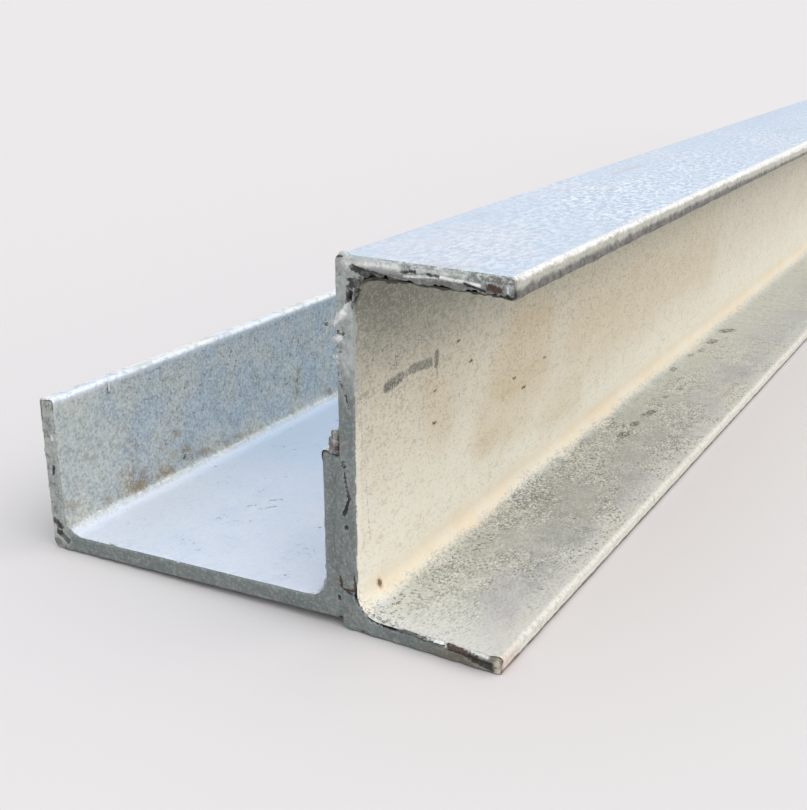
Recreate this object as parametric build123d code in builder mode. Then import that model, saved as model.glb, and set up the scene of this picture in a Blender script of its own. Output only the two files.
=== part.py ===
"""Corner post made of two like steel channels, welded flange to web and galvanised.

The upright channel stands on one flange. The flat channel lies on its web, with one flange
against the back of the upright web. Its seam heel is a little off the floor and its outer heel
is on it, so it leans, and the wedge that this leaves at the seam is filled with weld.
Millimetres, +X along the upright channel's flanges, +Y along the post, +Z up.
"""

from build123d import *
from math import cos, radians, sin
import os

# Rolled section, the same for both channels
SECTION_HEIGHT = 100.0  # over the outer faces of the two flanges
FLANGE_WIDTH = 46.5  # from the back of the web to the toes
WEB_THICKNESS = 4.8
FLANGE_THICKNESS = 4.8
ROOT_RADIUS = 6.5  # inside, where web and flange meet
HEEL_RADIUS = 2.0  # outside, at the same corner
TOE_RADIUS = 1.2  # both edges of a flange's toe

# The pair
POST_LENGTH = 1200.0
LEAN = 1.5  # degrees, how far the flat channel leans away from the upright web
SEAM_GAP = 0.1  # between the flat channel's heel and the upright web, at the closest

# Stitch welds on the toe of the leaning flange
TOE_WELD_COUNT = 5
TOE_WELD_LENGTH = 40.0
TOE_WELD_FOOT = 3.4  # how far it reaches across the toe
TOE_WELD_RISE = 5.2  # how far it climbs the web
TOE_WELD_BULGE = 0.9  # how far its face swells beyond straight
TOE_WELD_ROOT = 3.0  # how far it runs down into the wedge
TOE_WELD_END_RADIUS = 3.0  # rounding of its foot at both ends

# Stitch welds under the seam, between the two heels
HEEL_WELD_COUNT = 4
HEEL_WELD_LENGTH = 30.0
HEEL_WELD_MARGIN = 120.0  # from the post's ends to the first and last
HEEL_WELD_FOOT = 3.5  # how far it reaches under the flat channel's web
HEEL_WELD_ROOT = 1.2  # how far it runs up into the seam
HEEL_WELD_BULGE = 0.3
HEEL_WELD_TURN = 30.0  # degrees that it follows round the upright channel's heel

# Welds that close the wedge at the two ends of the post
END_WELD_DEPTH = 6.0
END_WELD_START = 12.0  # height up the leaning flange where the wedge is wide enough to fill

# Where the leaning channel lies: its outer heel touches the floor, its seam heel the web
lean_sin = sin(radians(LEAN))
lean_cos = cos(radians(LEAN))
heel_swell = HEEL_RADIUS * (1 - lean_cos)
seam_x = HEEL_RADIUS * lean_sin - heel_swell - SEAM_GAP
seam_z = (SECTION_HEIGHT - HEEL_RADIUS) * lean_sin + heel_swell

# The middle of the post's width is at X = 0
toe_overhang = (SECTION_HEIGHT - TOE_RADIUS) * lean_cos + (FLANGE_WIDTH - TOE_RADIUS) * lean_sin
left_reach = toe_overhang + TOE_RADIUS - seam_x
web_back = (left_reach - FLANGE_WIDTH) / 2

# Each channel's own frame has its web along +Y and its flanges along +X, from one heel's corner
upright_frame = Location((web_back, 0), 0)
flat_frame = Location((web_back + seam_x, seam_z), 90 + LEAN)


def on_flat(across, up):
    """X and Z of a point of the flat channel, measured from its seam heel along web and flange."""
    x = web_back + seam_x - across * lean_cos - up * lean_sin
    z = seam_z - across * lean_sin + up * lean_cos
    return x, z


def stitch_centres(count, length, margin):
    """Places along the post, evenly spaced, the outer two ending a margin from the post's ends."""
    reach = (POST_LENGTH - length) / 2 - margin
    return [reach * (2 * index / (count - 1) - 1) for index in range(count)]


# Rolled section: a square C with rounded toes and heels and a larger radius in each root
with BuildSketch() as section:
    with BuildLine():
        Polyline(
            (0, 0),
            (FLANGE_WIDTH, 0),
            (FLANGE_WIDTH, FLANGE_THICKNESS),
            (WEB_THICKNESS, FLANGE_THICKNESS),
            (WEB_THICKNESS, SECTION_HEIGHT - FLANGE_THICKNESS),
            (FLANGE_WIDTH, SECTION_HEIGHT - FLANGE_THICKNESS),
            (FLANGE_WIDTH, SECTION_HEIGHT),
            (0, SECTION_HEIGHT),
            close=True,
        )
    make_face()
    fillet(section.vertices().group_by(Axis.X)[-1], TOE_RADIUS)
    fillet(section.vertices().group_by(Axis.X)[1], ROOT_RADIUS)
    fillet(section.vertices().group_by(Axis.X)[0], HEEL_RADIUS)

# Toe weld: a swelling bead on the toe, with a tongue down into the wedge
toe_weld_foot = on_flat(TOE_WELD_FOOT, FLANGE_WIDTH)
toe_weld_head = (web_back, on_flat(0, FLANGE_WIDTH)[1] + TOE_WELD_RISE)
toe_weld_root = on_flat(0, FLANGE_WIDTH - TOE_WELD_ROOT)[1]
with BuildSketch() as toe_weld_profile:
    with BuildLine():
        Polyline(
            toe_weld_foot,
            (toe_weld_foot[0], toe_weld_root),
            (web_back, toe_weld_root),
            toe_weld_head,
        )
        SagittaArc(toe_weld_head, toe_weld_foot, -TOE_WELD_BULGE)
    make_face()
    with Locations(flat_frame):
        add(section.sketch, mode=Mode.SUBTRACT)

# Heel weld: a shallow fillet from the flat web round to the upright heel, and up into the seam
turn = radians(HEEL_WELD_TURN)
heel_weld_foot = on_flat(HEEL_WELD_FOOT, 0)
heel_weld_root = seam_z + HEEL_WELD_ROOT
heel_weld_head = (
    web_back + HEEL_RADIUS * (1 - cos(turn)),
    HEEL_RADIUS * (1 - sin(turn)),
)
with BuildSketch() as heel_weld_profile:
    with BuildLine():
        Polyline(
            heel_weld_foot,
            (heel_weld_foot[0], heel_weld_root),
            (web_back + HEEL_RADIUS, heel_weld_root),
            heel_weld_head,
        )
        SagittaArc(heel_weld_head, heel_weld_foot, -HEEL_WELD_BULGE)
    make_face()
    with Locations(flat_frame, upright_frame):
        add(section.sketch, mode=Mode.SUBTRACT)

# End weld: the wedge itself, from where it is wide enough up to the tongue of the toe weld
end_weld_start = on_flat(0, END_WELD_START)[1]
with BuildSketch() as end_weld_profile:
    with BuildLine():
        Polyline(
            (web_back, end_weld_start),
            (web_back, toe_weld_root),
            (toe_weld_foot[0], toe_weld_root),
            (toe_weld_foot[0], end_weld_start),
            close=True,
        )
    make_face()
    with Locations(flat_frame):
        add(section.sketch, mode=Mode.SUBTRACT)

os.makedirs("parts", exist_ok=True)

# The two channels
for name, frame in {"upright_channel": upright_frame, "flat_channel": flat_frame}.items():
    with BuildPart() as channel:
        with BuildSketch(Plane.XZ):
            with Locations(frame):
                add(section.sketch)
        extrude(amount=POST_LENGTH / 2, both=True)
    channel.part.label = name
    export_step(channel.part, f"parts/{name}.step")

# Toe welds, the outer two flush with the post's ends, each with its foot rounded at both ends
toe_weld_reach = web_back - toe_weld_foot[0]
for number, centre in enumerate(stitch_centres(TOE_WELD_COUNT, TOE_WELD_LENGTH, 0), 1):
    with BuildPart() as toe_weld:
        with BuildSketch(Plane.XZ.offset(-centre)):
            add(toe_weld_profile.sketch)
        extrude(amount=TOE_WELD_LENGTH / 2, both=True)
        with BuildSketch(Plane.XY.offset(toe_weld_root)):
            with Locations((web_back, centre)):
                RectangleRounded(2 * toe_weld_reach, TOE_WELD_LENGTH, TOE_WELD_END_RADIUS)
        extrude(amount=toe_weld_head[1] - toe_weld_root, mode=Mode.INTERSECT)
    toe_weld.part.label = f"toe_weld_{number}"
    export_step(toe_weld.part, f"parts/toe_weld_{number}.step")

# Heel welds, clear of the post's ends, where the seam's step is left open
heel_weld_centres = stitch_centres(HEEL_WELD_COUNT, HEEL_WELD_LENGTH, HEEL_WELD_MARGIN)
for number, centre in enumerate(heel_weld_centres, 1):
    with BuildPart() as heel_weld:
        with BuildSketch(Plane.XZ.offset(-centre)):
            add(heel_weld_profile.sketch)
        extrude(amount=HEEL_WELD_LENGTH / 2, both=True)
    heel_weld.part.label = f"heel_weld_{number}"
    export_step(heel_weld.part, f"parts/heel_weld_{number}.step")

# End welds, flush with the post's ends
end_weld_offset = (POST_LENGTH - END_WELD_DEPTH) / 2
for name, centre in {"near_end_weld": -end_weld_offset, "far_end_weld": end_weld_offset}.items():
    with BuildPart() as end_weld:
        with BuildSketch(Plane.XZ.offset(-centre)):
            add(end_weld_profile.sketch)
        extrude(amount=END_WELD_DEPTH / 2, both=True)
    end_weld.part.label = name
    export_step(end_weld.part, f"parts/{name}.step")
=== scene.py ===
"""Weathered zinc looks of a corner post: two like steel channels, welded flange to web.

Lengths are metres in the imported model's frame: X across the post, Y along it with the near end
at the lowest Y, and Z up from the floor that the post lies on. Tables of marks and of relief are
in millimetres, and a mark's distance along the post counts from the near end.
"""

from functools import reduce
from math import cos, radians, sin
from types import SimpleNamespace

import bpy
import numpy as np
from bpy.props import FloatProperty, FloatVectorProperty, PointerProperty
from mathutils import Matrix, Vector


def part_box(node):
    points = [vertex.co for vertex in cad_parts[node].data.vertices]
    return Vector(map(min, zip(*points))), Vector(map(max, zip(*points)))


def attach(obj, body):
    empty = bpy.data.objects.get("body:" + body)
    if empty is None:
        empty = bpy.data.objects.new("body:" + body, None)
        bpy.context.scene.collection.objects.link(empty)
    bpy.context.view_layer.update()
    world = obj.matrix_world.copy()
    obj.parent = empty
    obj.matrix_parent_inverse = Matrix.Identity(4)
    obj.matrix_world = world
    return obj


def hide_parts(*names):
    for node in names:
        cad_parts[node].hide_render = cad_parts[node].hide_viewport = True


bl_info = {
    "name": "Welded Channel Corner Post",
    "version": (1, 0, 0),
    "blender": (4, 5, 0),
    "location": "3D View > Sidebar > Corner Post",
    "description": "Dresses a corner post of two welded channels in weathered, mottled zinc",
    "category": "Object",
}

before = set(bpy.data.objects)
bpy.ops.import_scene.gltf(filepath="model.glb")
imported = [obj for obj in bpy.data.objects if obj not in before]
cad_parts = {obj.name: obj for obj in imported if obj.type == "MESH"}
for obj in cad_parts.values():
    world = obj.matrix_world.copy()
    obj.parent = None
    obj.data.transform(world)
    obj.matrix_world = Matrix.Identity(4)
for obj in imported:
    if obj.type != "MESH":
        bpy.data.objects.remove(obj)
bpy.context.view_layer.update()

MM = 0.001
IMAGE_WIDTH, IMAGE_HEIGHT = 807, 810
UPRIGHT_LOW, UPRIGHT_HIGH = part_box("upright_channel")
NEAR_END = UPRIGHT_LOW.y
POST_LENGTH = UPRIGHT_HIGH.y - UPRIGHT_LOW.y
TOE_WELDS = [f"toe_weld_{number}" for number in range(1, 6)]
HEEL_WELDS = [f"heel_weld_{number}" for number in range(1, 5)]
END_WELDS = ("near_end_weld", "far_end_weld")


# Sizes and colours that a user would change


def length(name, description, default):
    return FloatProperty(
        name=name, description=description, default=default, precision=5,
        subtype="DISTANCE", unit="LENGTH",
    )


def share(name, description, default):
    return FloatProperty(name=name, description=description, default=default, precision=4)


def angle(name, description, degrees):
    return FloatProperty(
        name=name, description=description, default=radians(degrees),
        subtype="ANGLE", unit="ROTATION",
    )


def colour(name, description, default):
    return FloatVectorProperty(
        name=name, description=description, default=default, size=3, min=0, max=1,
        subtype="COLOR",
    )


class PostSizes(bpy.types.PropertyGroup):
    """Rolled section, lean of the flat channel, and the small forms of zinc and weld."""

    section_height: length("Section height", "Over both flanges", UPRIGHT_HIGH.z - UPRIGHT_LOW.z)
    flange_width: length("Flange width", "Web back to toes", UPRIGHT_HIGH.x - UPRIGHT_LOW.x)
    web: length("Web", "Thickness of the web", 4.8 * MM)
    flange: length("Flange", "Thickness of a flange", 4.8 * MM)
    root: length("Root radius", "Inside rounding of web and flange", 6.5 * MM)
    heel: length("Heel radius", "Outside rounding of web and flange", 2.0 * MM)
    toe: length("Toe radius", "Rounding of a flange's toe", 1.2 * MM)
    lean: angle("Lean", "How far the flat channel leans away from the upright web", 1.5)
    seam_gap: length("Seam gap", "Between the flat channel's heel and the upright web", 0.1 * MM)
    cut_rounding: length("Cut rounding", "Zinc rounding of the sawn ends' edges", 0.3 * MM)
    ripple: length("Ripple", "Height of the zinc's slow waves on the faces", 0.05 * MM)
    toe_ripple: length("Toe ripple", "Height of the zinc's waves along the toes", 0.06 * MM)
    toe_bulge: length("Toe bulge", "Zinc that gathers inside a flange's toe", 0.7 * MM)
    skin: length("Skin", "Thickness of the zinc skin over the sawn ends", 0.42 * MM)
    cap_depth: length("Cap depth", "How far the steel's near face lies behind the skin", 1.2 * MM)
    torn: length("Torn edge", "How far the skin's inner edge is torn back", 1.1 * MM)
    lip: length("Lip", "Thickness of the torn zinc lip inside the ends", 0.4 * MM)
    upright_slant_out: share("Upright cut, outward", "Slant of the saw cut along the flanges", -0.0058)
    upright_slant_up: share("Upright cut, upward", "Slant of the saw cut up the web", -0.0188)
    flat_slant_out: share("Flat cut, outward", "Slant of the saw cut along the flat web", -0.0312)
    flat_slant_up: share("Flat cut, upward", "Slant of the saw cut up the flanges", 0.0188)


class PostColours(bpy.types.PropertyGroup):
    """Colours of the zinc on its different faces, and of grime and rust."""

    outside: colour("Outside", "Weathered zinc on the hidden outer faces", (0.44, 0.47, 0.49))
    outside_light: colour("Outside light", "Lighter clouds on the outer faces", (0.56, 0.58, 0.59))
    # The top face's blue-white is partly a painted sky reflection; its ripples and hollows are painted
    # highlights and painted shade.
    top: colour("Top face", "Sky-bright zinc on the upright's top flange", (0.585, 0.665, 0.775))
    top_highlight: colour("Top ripples", "Lighter ripples on the top flange", (0.86, 0.92, 0.98))
    top_shade: colour("Top hollows", "Darker hollows between the ripples", (0.41, 0.515, 0.655))
    top_warm: colour("Top warm", "Faint pink clouds on the top flange", (0.68, 0.69, 0.76))
    brown: colour("Brown stain", "Thin brown stain on bright zinc", (0.50, 0.44, 0.36))
    # The cream colours carry painted light: the web is painted brighter low down and darker under the top
    # flange, whose shade falls on its upper part, and the cream tint is partly a painted warm bounce
    # light.
    cream_light: colour("Light cream", "Chalky film low on the upright's inner web", (0.90, 0.86, 0.74))
    cream: colour("Cream", "Chalky film half way up the inner web", (0.69, 0.64, 0.52))
    cream_shade_and_grain: colour("Cream shade", "Dull film under the top flange", (0.165, 0.182, 0.146))
    smudge: colour("Smudge", "Dark grey smudges on the inner web", (0.16, 0.16, 0.14))
    peach: colour("Peach root", "Warm band along the lower root", (0.87, 0.75, 0.57))
    tan: colour("Tan", "Thin orange stain on the inner web", (0.62, 0.475, 0.26))
    speckle: colour("Speckled flange", "Grey film on the lower flange", (0.60, 0.615, 0.555))
    speckle_worn: colour("Worn flange", "Darker worn area on the lower flange", (0.46, 0.47, 0.445))
    speckle_cool: colour("Cool flange", "Lilac-grey clouds on the lower flange", (0.53, 0.52, 0.535))
    speckle_pale: colour("Pale flange", "Whitish zinc by the end and the toe", (0.84, 0.84, 0.81))
    # Dark specks are dark grains, and also a band of painted shadow under the bead on the top flange's
    # end.
    dark_grain_and_shadow: colour("Dark specks", "Dark grains in the film", (0.17, 0.17, 0.155))
    speckle_light: colour("Light specks", "Light grains in the film", (0.86, 0.86, 0.82))
    # The trough floor's blue-white is partly a painted sky reflection, and the trough hollows colour is
    # also painted shade, darker away from the near end.
    trough: colour("Trough floor", "Blue-white zinc on the flat web", (0.83, 0.87, 0.965))
    trough_shade_and_mottle: colour("Trough hollows", "Dull grains on the flat web", (0.60, 0.73, 0.91))
    trough_wall: colour("Trough wall", "Blue-grey zinc on the outer flange", (0.47, 0.54, 0.575))
    trough_beige: colour("Trough beige", "Beige film on the outer flange", (0.64, 0.63, 0.54))
    stain: colour("Stain", "Brown stain along the roots", (0.30, 0.215, 0.11))
    # Toe light and toe dark are a painted highlight and painted shade, as on a rounded toe lit from above;
    # toe light is the painted highlight colour wherever it is used.
    zinc_highlight: colour("Toe light", "Bright zinc on a toe's upper half", (0.90, 0.90, 0.87))
    toe_shade: colour("Toe dark", "Dull zinc on a toe's lower half", (0.17, 0.165, 0.15))
    cut: colour("Cut end", "Grey-green zinc on the sawn ends", (0.185, 0.222, 0.217))
    cut_light: colour("Cut end light", "Lighter zinc on the sawn ends", (0.36, 0.37, 0.37))
    cut_pale: colour("Cut end pale", "Pale grey-green zinc high on the web's end", (0.45, 0.49, 0.475))
    cut_brown: colour("Cut end brown", "Olive-brown film on the sawn ends", (0.20, 0.175, 0.125))
    # This black is dark scale in pits and cracks, and also painted shadow in hollows, under the top flange
    # by the end and at the horns' tips.
    black_scale_and_shadow: colour("Burnt", "Nearly black scale in pits and cracks", (0.028, 0.026, 0.024))
    rust: colour("Rust", "Dark rust", (0.105, 0.062, 0.045))
    rust_bright: colour("Bright rust", "Orange rust in small spots", (0.45, 0.20, 0.075))
    weld: colour("Weld", "Zinc over weld metal", (0.36, 0.34, 0.31))


class StageSettings(bpy.types.PropertyGroup):
    """Floor, light and camera."""

    floor: colour("Floor", "Floor", (0.815, 0.771, 0.762))
    backdrop: colour("Backdrop", "Background beyond the floor", (0.839, 0.823, 0.831))
    ambient: share("Ambient", "Level of the light from all round", 0.42)
    sky: share("Sky light", "Level of the soft light from above", 0.34)
    sky_spread: angle("Sky spread", "Width of the light from above", 110)
    sky_tint: colour("Sky tint", "Colour of the light from above", (0.80, 0.90, 1.0))
    side: share("Side light", "Level of the soft light from the toes' side", 0.53)
    side_spread: angle("Side spread", "Width of the light from the toes' side", 80)
    side_tint: colour("Side tint", "Colour of the light from the toes' side", (1.0, 0.98, 0.945))
    camera_x: length("Camera X", "Place of the camera", 174.98 * MM)
    camera_y: length("Camera Y", "Place of the camera", -828.65 * MM)
    camera_z: length("Camera Z", "Place of the camera", 157.68 * MM)
    yaw: angle("Yaw", "Turn of the view from +Y towards +X", -28.810)
    pitch: angle("Pitch", "Tilt of the view from level", -21.400)
    roll: angle("Roll", "Turn of the picture", 0.815)
    focal: share("Focal length", "In pixels of the picture", 1175.61)
    axis_x: share("Axis X", "Pixel that the camera's axis meets, across", 418.48)
    axis_y: share("Axis Y", "Pixel that the camera's axis meets, down", 447.14)


def sizes():
    return bpy.context.scene.post_sizes


def colours():
    return bpy.context.scene.post_colours


# Relief of the near end's zinc: start X and Z, end X and Z, radius, height, all in millimetres
UPRIGHT_RELIEF = (
    (31.0, 98.6, 34.0, 98.4, 1.9, 0.8),  # blob over the heel
    (34.0, 98.3, 60.0, 98.6, 1.3, 0.55),  # rounded bead along the top flange
    (46.4, 96.9, 56.0, 98.0, 0.35, 0.35),  # burr line
    (56.0, 98.0, 65.5, 97.1, 0.35, 0.40),
    (61.0, 97.1, 66.5, 95.9, 0.40, -0.50),  # fold under the burr
    (33.8, 97.5, 39.0, 95.9, 0.60, -0.80),  # crack from the heel's blob
    (39.0, 95.9, 46.0, 95.2, 0.50, -0.60),
    (67.6, 97.0, 70.0, 96.6, 0.90, -0.40),  # rusty chip near the toe
    (31.8, 90.5, 30.0, 86.4, 0.85, 0.8),  # bright run across the web's end
    (30.0, 86.4, 27.4, 83.0, 0.95, 1.1),
    (29.4, 81.6, 30.4, 79.8, 1.1, -0.6),  # hollows between the horns
    (28.0, 79.4, 31.0, 78.4, 0.75, 0.6),
    (29.2, 77.2, 30.4, 76.2, 0.8, -0.4),
    (27.8, 75.4, 30.6, 73.4, 0.9, 0.6),
    (28.2, 71.8, 30.5, 62.5, 0.5, -0.3),  # grooves below the horns
    (29.6, 39.6, 30.2, 38.2, 0.42, -0.7),  # pits in the shape of an S
    (30.2, 38.2, 29.3, 35.2, 0.40, -0.6),
    (29.3, 35.2, 28.6, 33.3, 0.42, -0.7),
    (29.2, 29.7, 29.2, 29.6, 0.55, -0.7),
    (28.0, 45.6, 28.2, 44.6, 0.7, -0.6),
    (32.6, 90.5, 35.4, 94.2, 0.8, -0.6),  # torn hollow in the upper root
    (36.0, 94.8, 39.5, 95.6, 0.6, -0.5),
    (26.9, 13.4, 27.3, 11.7, 0.35, -0.5),  # rusty crack
    (27.3, 11.7, 30.4, 10.9, 0.35, -0.5),
    (44.0, 4.9, 57.0, 4.3, 0.6, 0.5),  # zinc that hangs over the lower flange's end
    (59.5, 4.2, 70.0, 3.8, 0.8, 0.7),
    (57.4, 4.8, 58.4, 4.0, 0.5, -0.8),  # chips and cracks under it
    (50.0, 3.7, 57.5, 3.4, 0.45, -0.5),
    (59.0, 2.9, 70.5, 2.2, 0.55, -0.5),
)
FLAT_RELIEF = (
    (-74.4, 33.7, -74.2, 32.6, 0.6, -0.6),
    (-70.6, 25.6, -70.9, 24.2, 0.6, -0.6),
    (-74.3, 19.6, -74.2, 18.8, 0.5, -0.5),
    (-73.9, 45.9, -73.7, 43.2, 0.8, -0.5),
    (-73.7, 9.5, -69.6, 7.2, 1.0, -0.5),
    (-69.8, 5.2, -67.6, 3.1, 0.8, -0.4),
    (-70.0, 35.6, -69.8, 34.6, 0.6, 0.4),
)

# Horns of zinc on the upright web's near edge: X, Y, Z and radius of each station, in millimetres
HORNS = (
    (
        (30.0, -601.0, 83.6, 0.7), (28.0, -601.6, 83.2, 1.1),
        (26.0, -601.7, 82.8, 0.75), (24.0, -601.6, 82.3, 0.4),
    ),
    (
        (30.2, -600.9, 78.8, 0.6), (28.2, -601.5, 79.4, 1.0),
        (26.6, -601.6, 79.0, 0.6), (25.4, -601.5, 78.2, 0.25),
    ),
    (
        (29.8, -600.8, 73.2, 0.7), (28.2, -601.3, 73.8, 1.0),
        (26.9, -601.4, 74.7, 0.55), (26.1, -601.3, 75.4, 0.25),
    ),
    (
        (31.6, -601.0, 98.4, 0.6), (30.2, -601.4, 99.5, 1.1),
        (28.8, -601.2, 99.6, 0.8), (27.8, -600.9, 99.2, 0.3),
    ),
)

# X and Z of the lump on the near toe weld
LUMP_PLACE = 25.8 * MM, 51.8 * MM

# Profile of a torn lip: depth behind its front in millimetres, and share of its full thickness,
# below nothing where it is sunk in the steel
LIP_DEPTHS = (0.05, -0.06, 0.0, 0.15, 0.5, 1.0, 1.8, 2.8, 3.8, 4.6, 5.4, 5.6)
LIP_THICKNESS = (-1.2, 0.35, 0.75, 1.0, 1.0, 0.85, 0.6, 0.35, 0.15, 0.0, -0.3, -1.2)

# Smear over the seam's end: its lowest and highest Z, and the X of its two sides, in millimetres
SMEAR_HEIGHTS, SMEAR_SIDES = (3.2, 48.5), (25.6, 28.9)

# Steps of the section grid along its runs and arcs, and through the steel
FLANGE_STEPS, CORNER_STEPS, HEEL_STEPS, WEB_STEPS = 34, 6, 8, 39
TOE_STEPS = 4
THROUGH_STEPS = 3 * TOE_STEPS

# Places of the cut's and the outer faces' paints among a channel's materials
CUT_SLOT, OUTER_SLOT = 1, 2

# Distances from a flange's outer face between which its inside turns into the web's
ROOT_SPAN = 5.5 * MM, 8.5 * MM


# Shapes, worked out with numpy


def waves(points, wavelength, seed, count=16):
    """Sum of sine waves with seeded directions and phases, of about that wavelength, spread 1."""
    rng = np.random.default_rng(seed)
    points = np.asarray(points, float)
    direction = unit(rng.normal(size=(count, points.shape[-1])))
    number = 2 * np.pi / (wavelength * rng.uniform(0.7, 1.5, (count, 1)))
    phase = rng.uniform(0, 2 * np.pi, count)
    return np.sin(points @ (direction * number).T + phase).sum(-1) / np.sqrt(count / 2)


def lumps(points, seed, *parts):
    """Sum of waves, each part a wavelength in millimetres and a height, with seeds that count up."""
    return sum(height * waves(points, size * MM, seed + k) for k, (size, height) in enumerate(parts))


def unit(vectors):
    return vectors / np.linalg.norm(vectors, axis=-1, keepdims=True)


def run(start, end, count):
    """Points evenly from start towards end, the end left out."""
    t = np.arange(count)[:, None] / count
    return (1 - t) * np.array(start) + t * np.array(end)


def arc(centre, radius, begin, finish, count):
    """Points evenly on an arc between two angles in degrees, the last left out."""
    turn = np.radians(begin + (finish - begin) * np.arange(count) / count)
    return np.array(centre) + radius * np.stack([np.cos(turn), np.sin(turn)], 1)


def step(value, low, high):
    """Smooth step from 0 at low to 1 at high."""
    t = np.clip((value - low) / (high - low), 0, 1)
    return t * t * (3 - 2 * t)


def mirrored(points, height):
    """The lower half of a side, its middle, and the lower half again upside down."""
    middle = [[points[-1, 0], height / 2]]
    return np.concatenate([points, middle, points[::-1] * (1, -1) + (0, height)])


def section_grid(s, fine=1):
    """Rolled section as a grid: first index from the lower toe round to the upper toe,
    second from the outer face (0) through the steel to the inner face (last).
    The outer and inner sides are runs and arcs with the same count, joined by straight lines,
    and the two end rows follow the rounded toes."""
    b, h, t, w = s.flange_width, s.section_height, s.flange, s.web
    corner, root, heel, toe = w + s.root, s.root, s.heel, s.toe
    outer = np.concatenate([
        run((b - toe, 0), (corner, 0), FLANGE_STEPS * fine),
        run((corner, 0), (heel, 0), CORNER_STEPS * fine),
        arc((heel, heel), heel, 270, 180, HEEL_STEPS * fine),
        run((0, heel), (0, corner), CORNER_STEPS * fine),
        run((0, corner), (0, h / 2), WEB_STEPS * fine),
    ])
    inner = np.concatenate([
        run((b - toe, t), (corner, t), FLANGE_STEPS * fine),
        arc((corner, t + root), root, 270, 180, (HEEL_STEPS + 2 * CORNER_STEPS) * fine),
        run((w, t + root), (w, h / 2), WEB_STEPS * fine),
    ])
    across = np.linspace(0, 1, THROUGH_STEPS * fine + 1)[None, :, None]
    outer, inner = mirrored(outer, h), mirrored(inner, h)
    grid = (1 - across) * outer[:, None] + across * inner[:, None]
    grid[0] = np.concatenate([
        arc((b - toe, toe), toe, 270, 360, TOE_STEPS * fine),
        run((b, toe), (b, t - toe), TOE_STEPS * fine),
        arc((b - toe, t - toe), toe, 0, 90, TOE_STEPS * fine),
        [[b - toe, t]],
    ])
    grid[-1] = grid[0] * (1, -1) + (0, h)
    return grid


def loop_of(grid):
    """Boundary of a grid as one closed row: outer side, upper toe, inner side, lower toe."""
    return np.concatenate([grid[:, 0], grid[-1, 1:-1], grid[::-1, -1], grid[0, -2:0:-1]])


def outward(loop):
    """Unit normals of a closed loop, from the line between each point's neighbours."""
    along = np.roll(loop, -1, 0) - np.roll(loop, 1, 0)
    return unit(np.stack([-along[:, 1], along[:, 0]], 1))


def zones(s, out, up, through):
    """How much a point of the section belongs to each painted zone: out from the web's back, up
    from the lower flange's face, through from the outer faces (0) to the inner ones (1)."""
    b, h = s.flange_width, s.section_height
    toe = step(out, b - 1.6 * MM, b - 0.4 * MM)
    inside = step(through, 0.5, 0.95)
    inner = inside * (1 - toe)
    low, high = up, h - up
    return {
        "inside_web": inner * step(np.minimum(low, high), *ROOT_SPAN),
        "inside_first": inner * (1 - step(low, *ROOT_SPAN)),
        "inside_second": inner * (1 - step(high, *ROOT_SPAN)),
        "outside_second": (1 - inside) * (1 - step(high, 0.3 * MM, 1.6 * MM)) * (1 - toe),
        "toe": toe,
        "through": through,
    }


def stations(total, rounding, first, growth, largest):
    """Distances along the post: a rounded edge, steps that grow evenly, and a rounded edge."""
    steps = np.minimum(first * growth ** np.arange(400), largest)
    middle = rounding + np.cumsum(steps)
    middle = middle[middle < total - 1.5 * largest]
    turn = np.radians([0, 30, 60, 90])
    ease = rounding * (1 - np.cos(turn))
    inset = rounding * (1 - np.sin(turn))
    y = np.concatenate([ease, middle, total - np.array([6, 3, 1.2]) * MM, total - ease[::-1]])
    return y, np.concatenate([inset, np.zeros(len(middle) + 3), inset[::-1]])


def grid_faces(rows, columns, wrap):
    """Corner numbers of the quads between neighbouring points of a grid, its rows closed or not."""
    index = np.arange(rows * columns).reshape(rows, columns)
    if wrap:
        index = np.concatenate([index, index[:, :1]], 1)
    return quads_of(index)


def quads_of(index):
    return np.stack([index[:-1, :-1], index[1:, :-1], index[1:, 1:], index[:-1, 1:]], -1).reshape(-1, 4)


def on_upright(out, up):
    """X and Z of a point of the upright channel from its web back and its lower flange's face."""
    return UPRIGHT_LOW.x + out, UPRIGHT_LOW.z + up


def on_flat(out, across):
    """X and Z of a point of the flat channel, out from its web and across from its seam heel."""
    s = sizes()
    c, d = cos(s.lean), sin(s.lean)
    swell = s.heel * (1 - c)
    seam_x = UPRIGHT_LOW.x + s.heel * d - swell - s.seam_gap
    seam_z = (s.section_height - s.heel) * d + swell
    return seam_x - across * c - out * d, seam_z - across * d + out * c


def swelling(s, loop, through, toe, y, seed):
    """How far zinc lifts each point of the rings: slow waves on the faces, quicker ones on the
    toes and a bulge inside the toes, and only inwards on the outer faces, which others touch."""
    around = np.broadcast_to(loop, (len(y),) + loop.shape)
    space = np.concatenate([around, np.broadcast_to(y[:, None, None], around.shape[:2] + (1,))], -1)
    swell = s.ripple * lumps(space, seed, (45, 0.6), (14, 0.4))
    ripples = lumps(space, seed + 2, (9, 0.6), (4, 0.4))
    swell = swell * (1 - toe) + s.toe_ripple * (ripples - 0.6) * toe
    touching = (through < 0.02) & (toe < 0.5)
    swell = np.where(touching, np.minimum(swell, 0) - 0.3 * np.abs(swell), swell)
    from_toe = s.flange_width - loop[:, 0]
    gathered = (1 - step(from_toe, 1.2 * MM, 5 * MM)) * step(through, 0.45, 0.9)
    return swell + s.toe_bulge * gathered * (0.85 + 0.08 * ripples)


def cap_faces(rows, columns, rim_start, inside_start):
    """Quads of a closed end: its rim is a ring of points in loop_of's order, numbered from
    rim_start on, and the points inside it are numbered row by row from inside_start on."""
    rim = loop_of(np.arange(rows * columns).reshape(rows, columns))
    cap = np.empty((rows, columns), int)
    cap.flat[rim] = rim_start + np.arange(len(rim))
    inside = np.arange((rows - 2) * (columns - 2)).reshape(rows - 2, columns - 2)
    cap[1:-1, 1:-1] = inside_start + inside
    return quads_of(cap)


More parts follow.
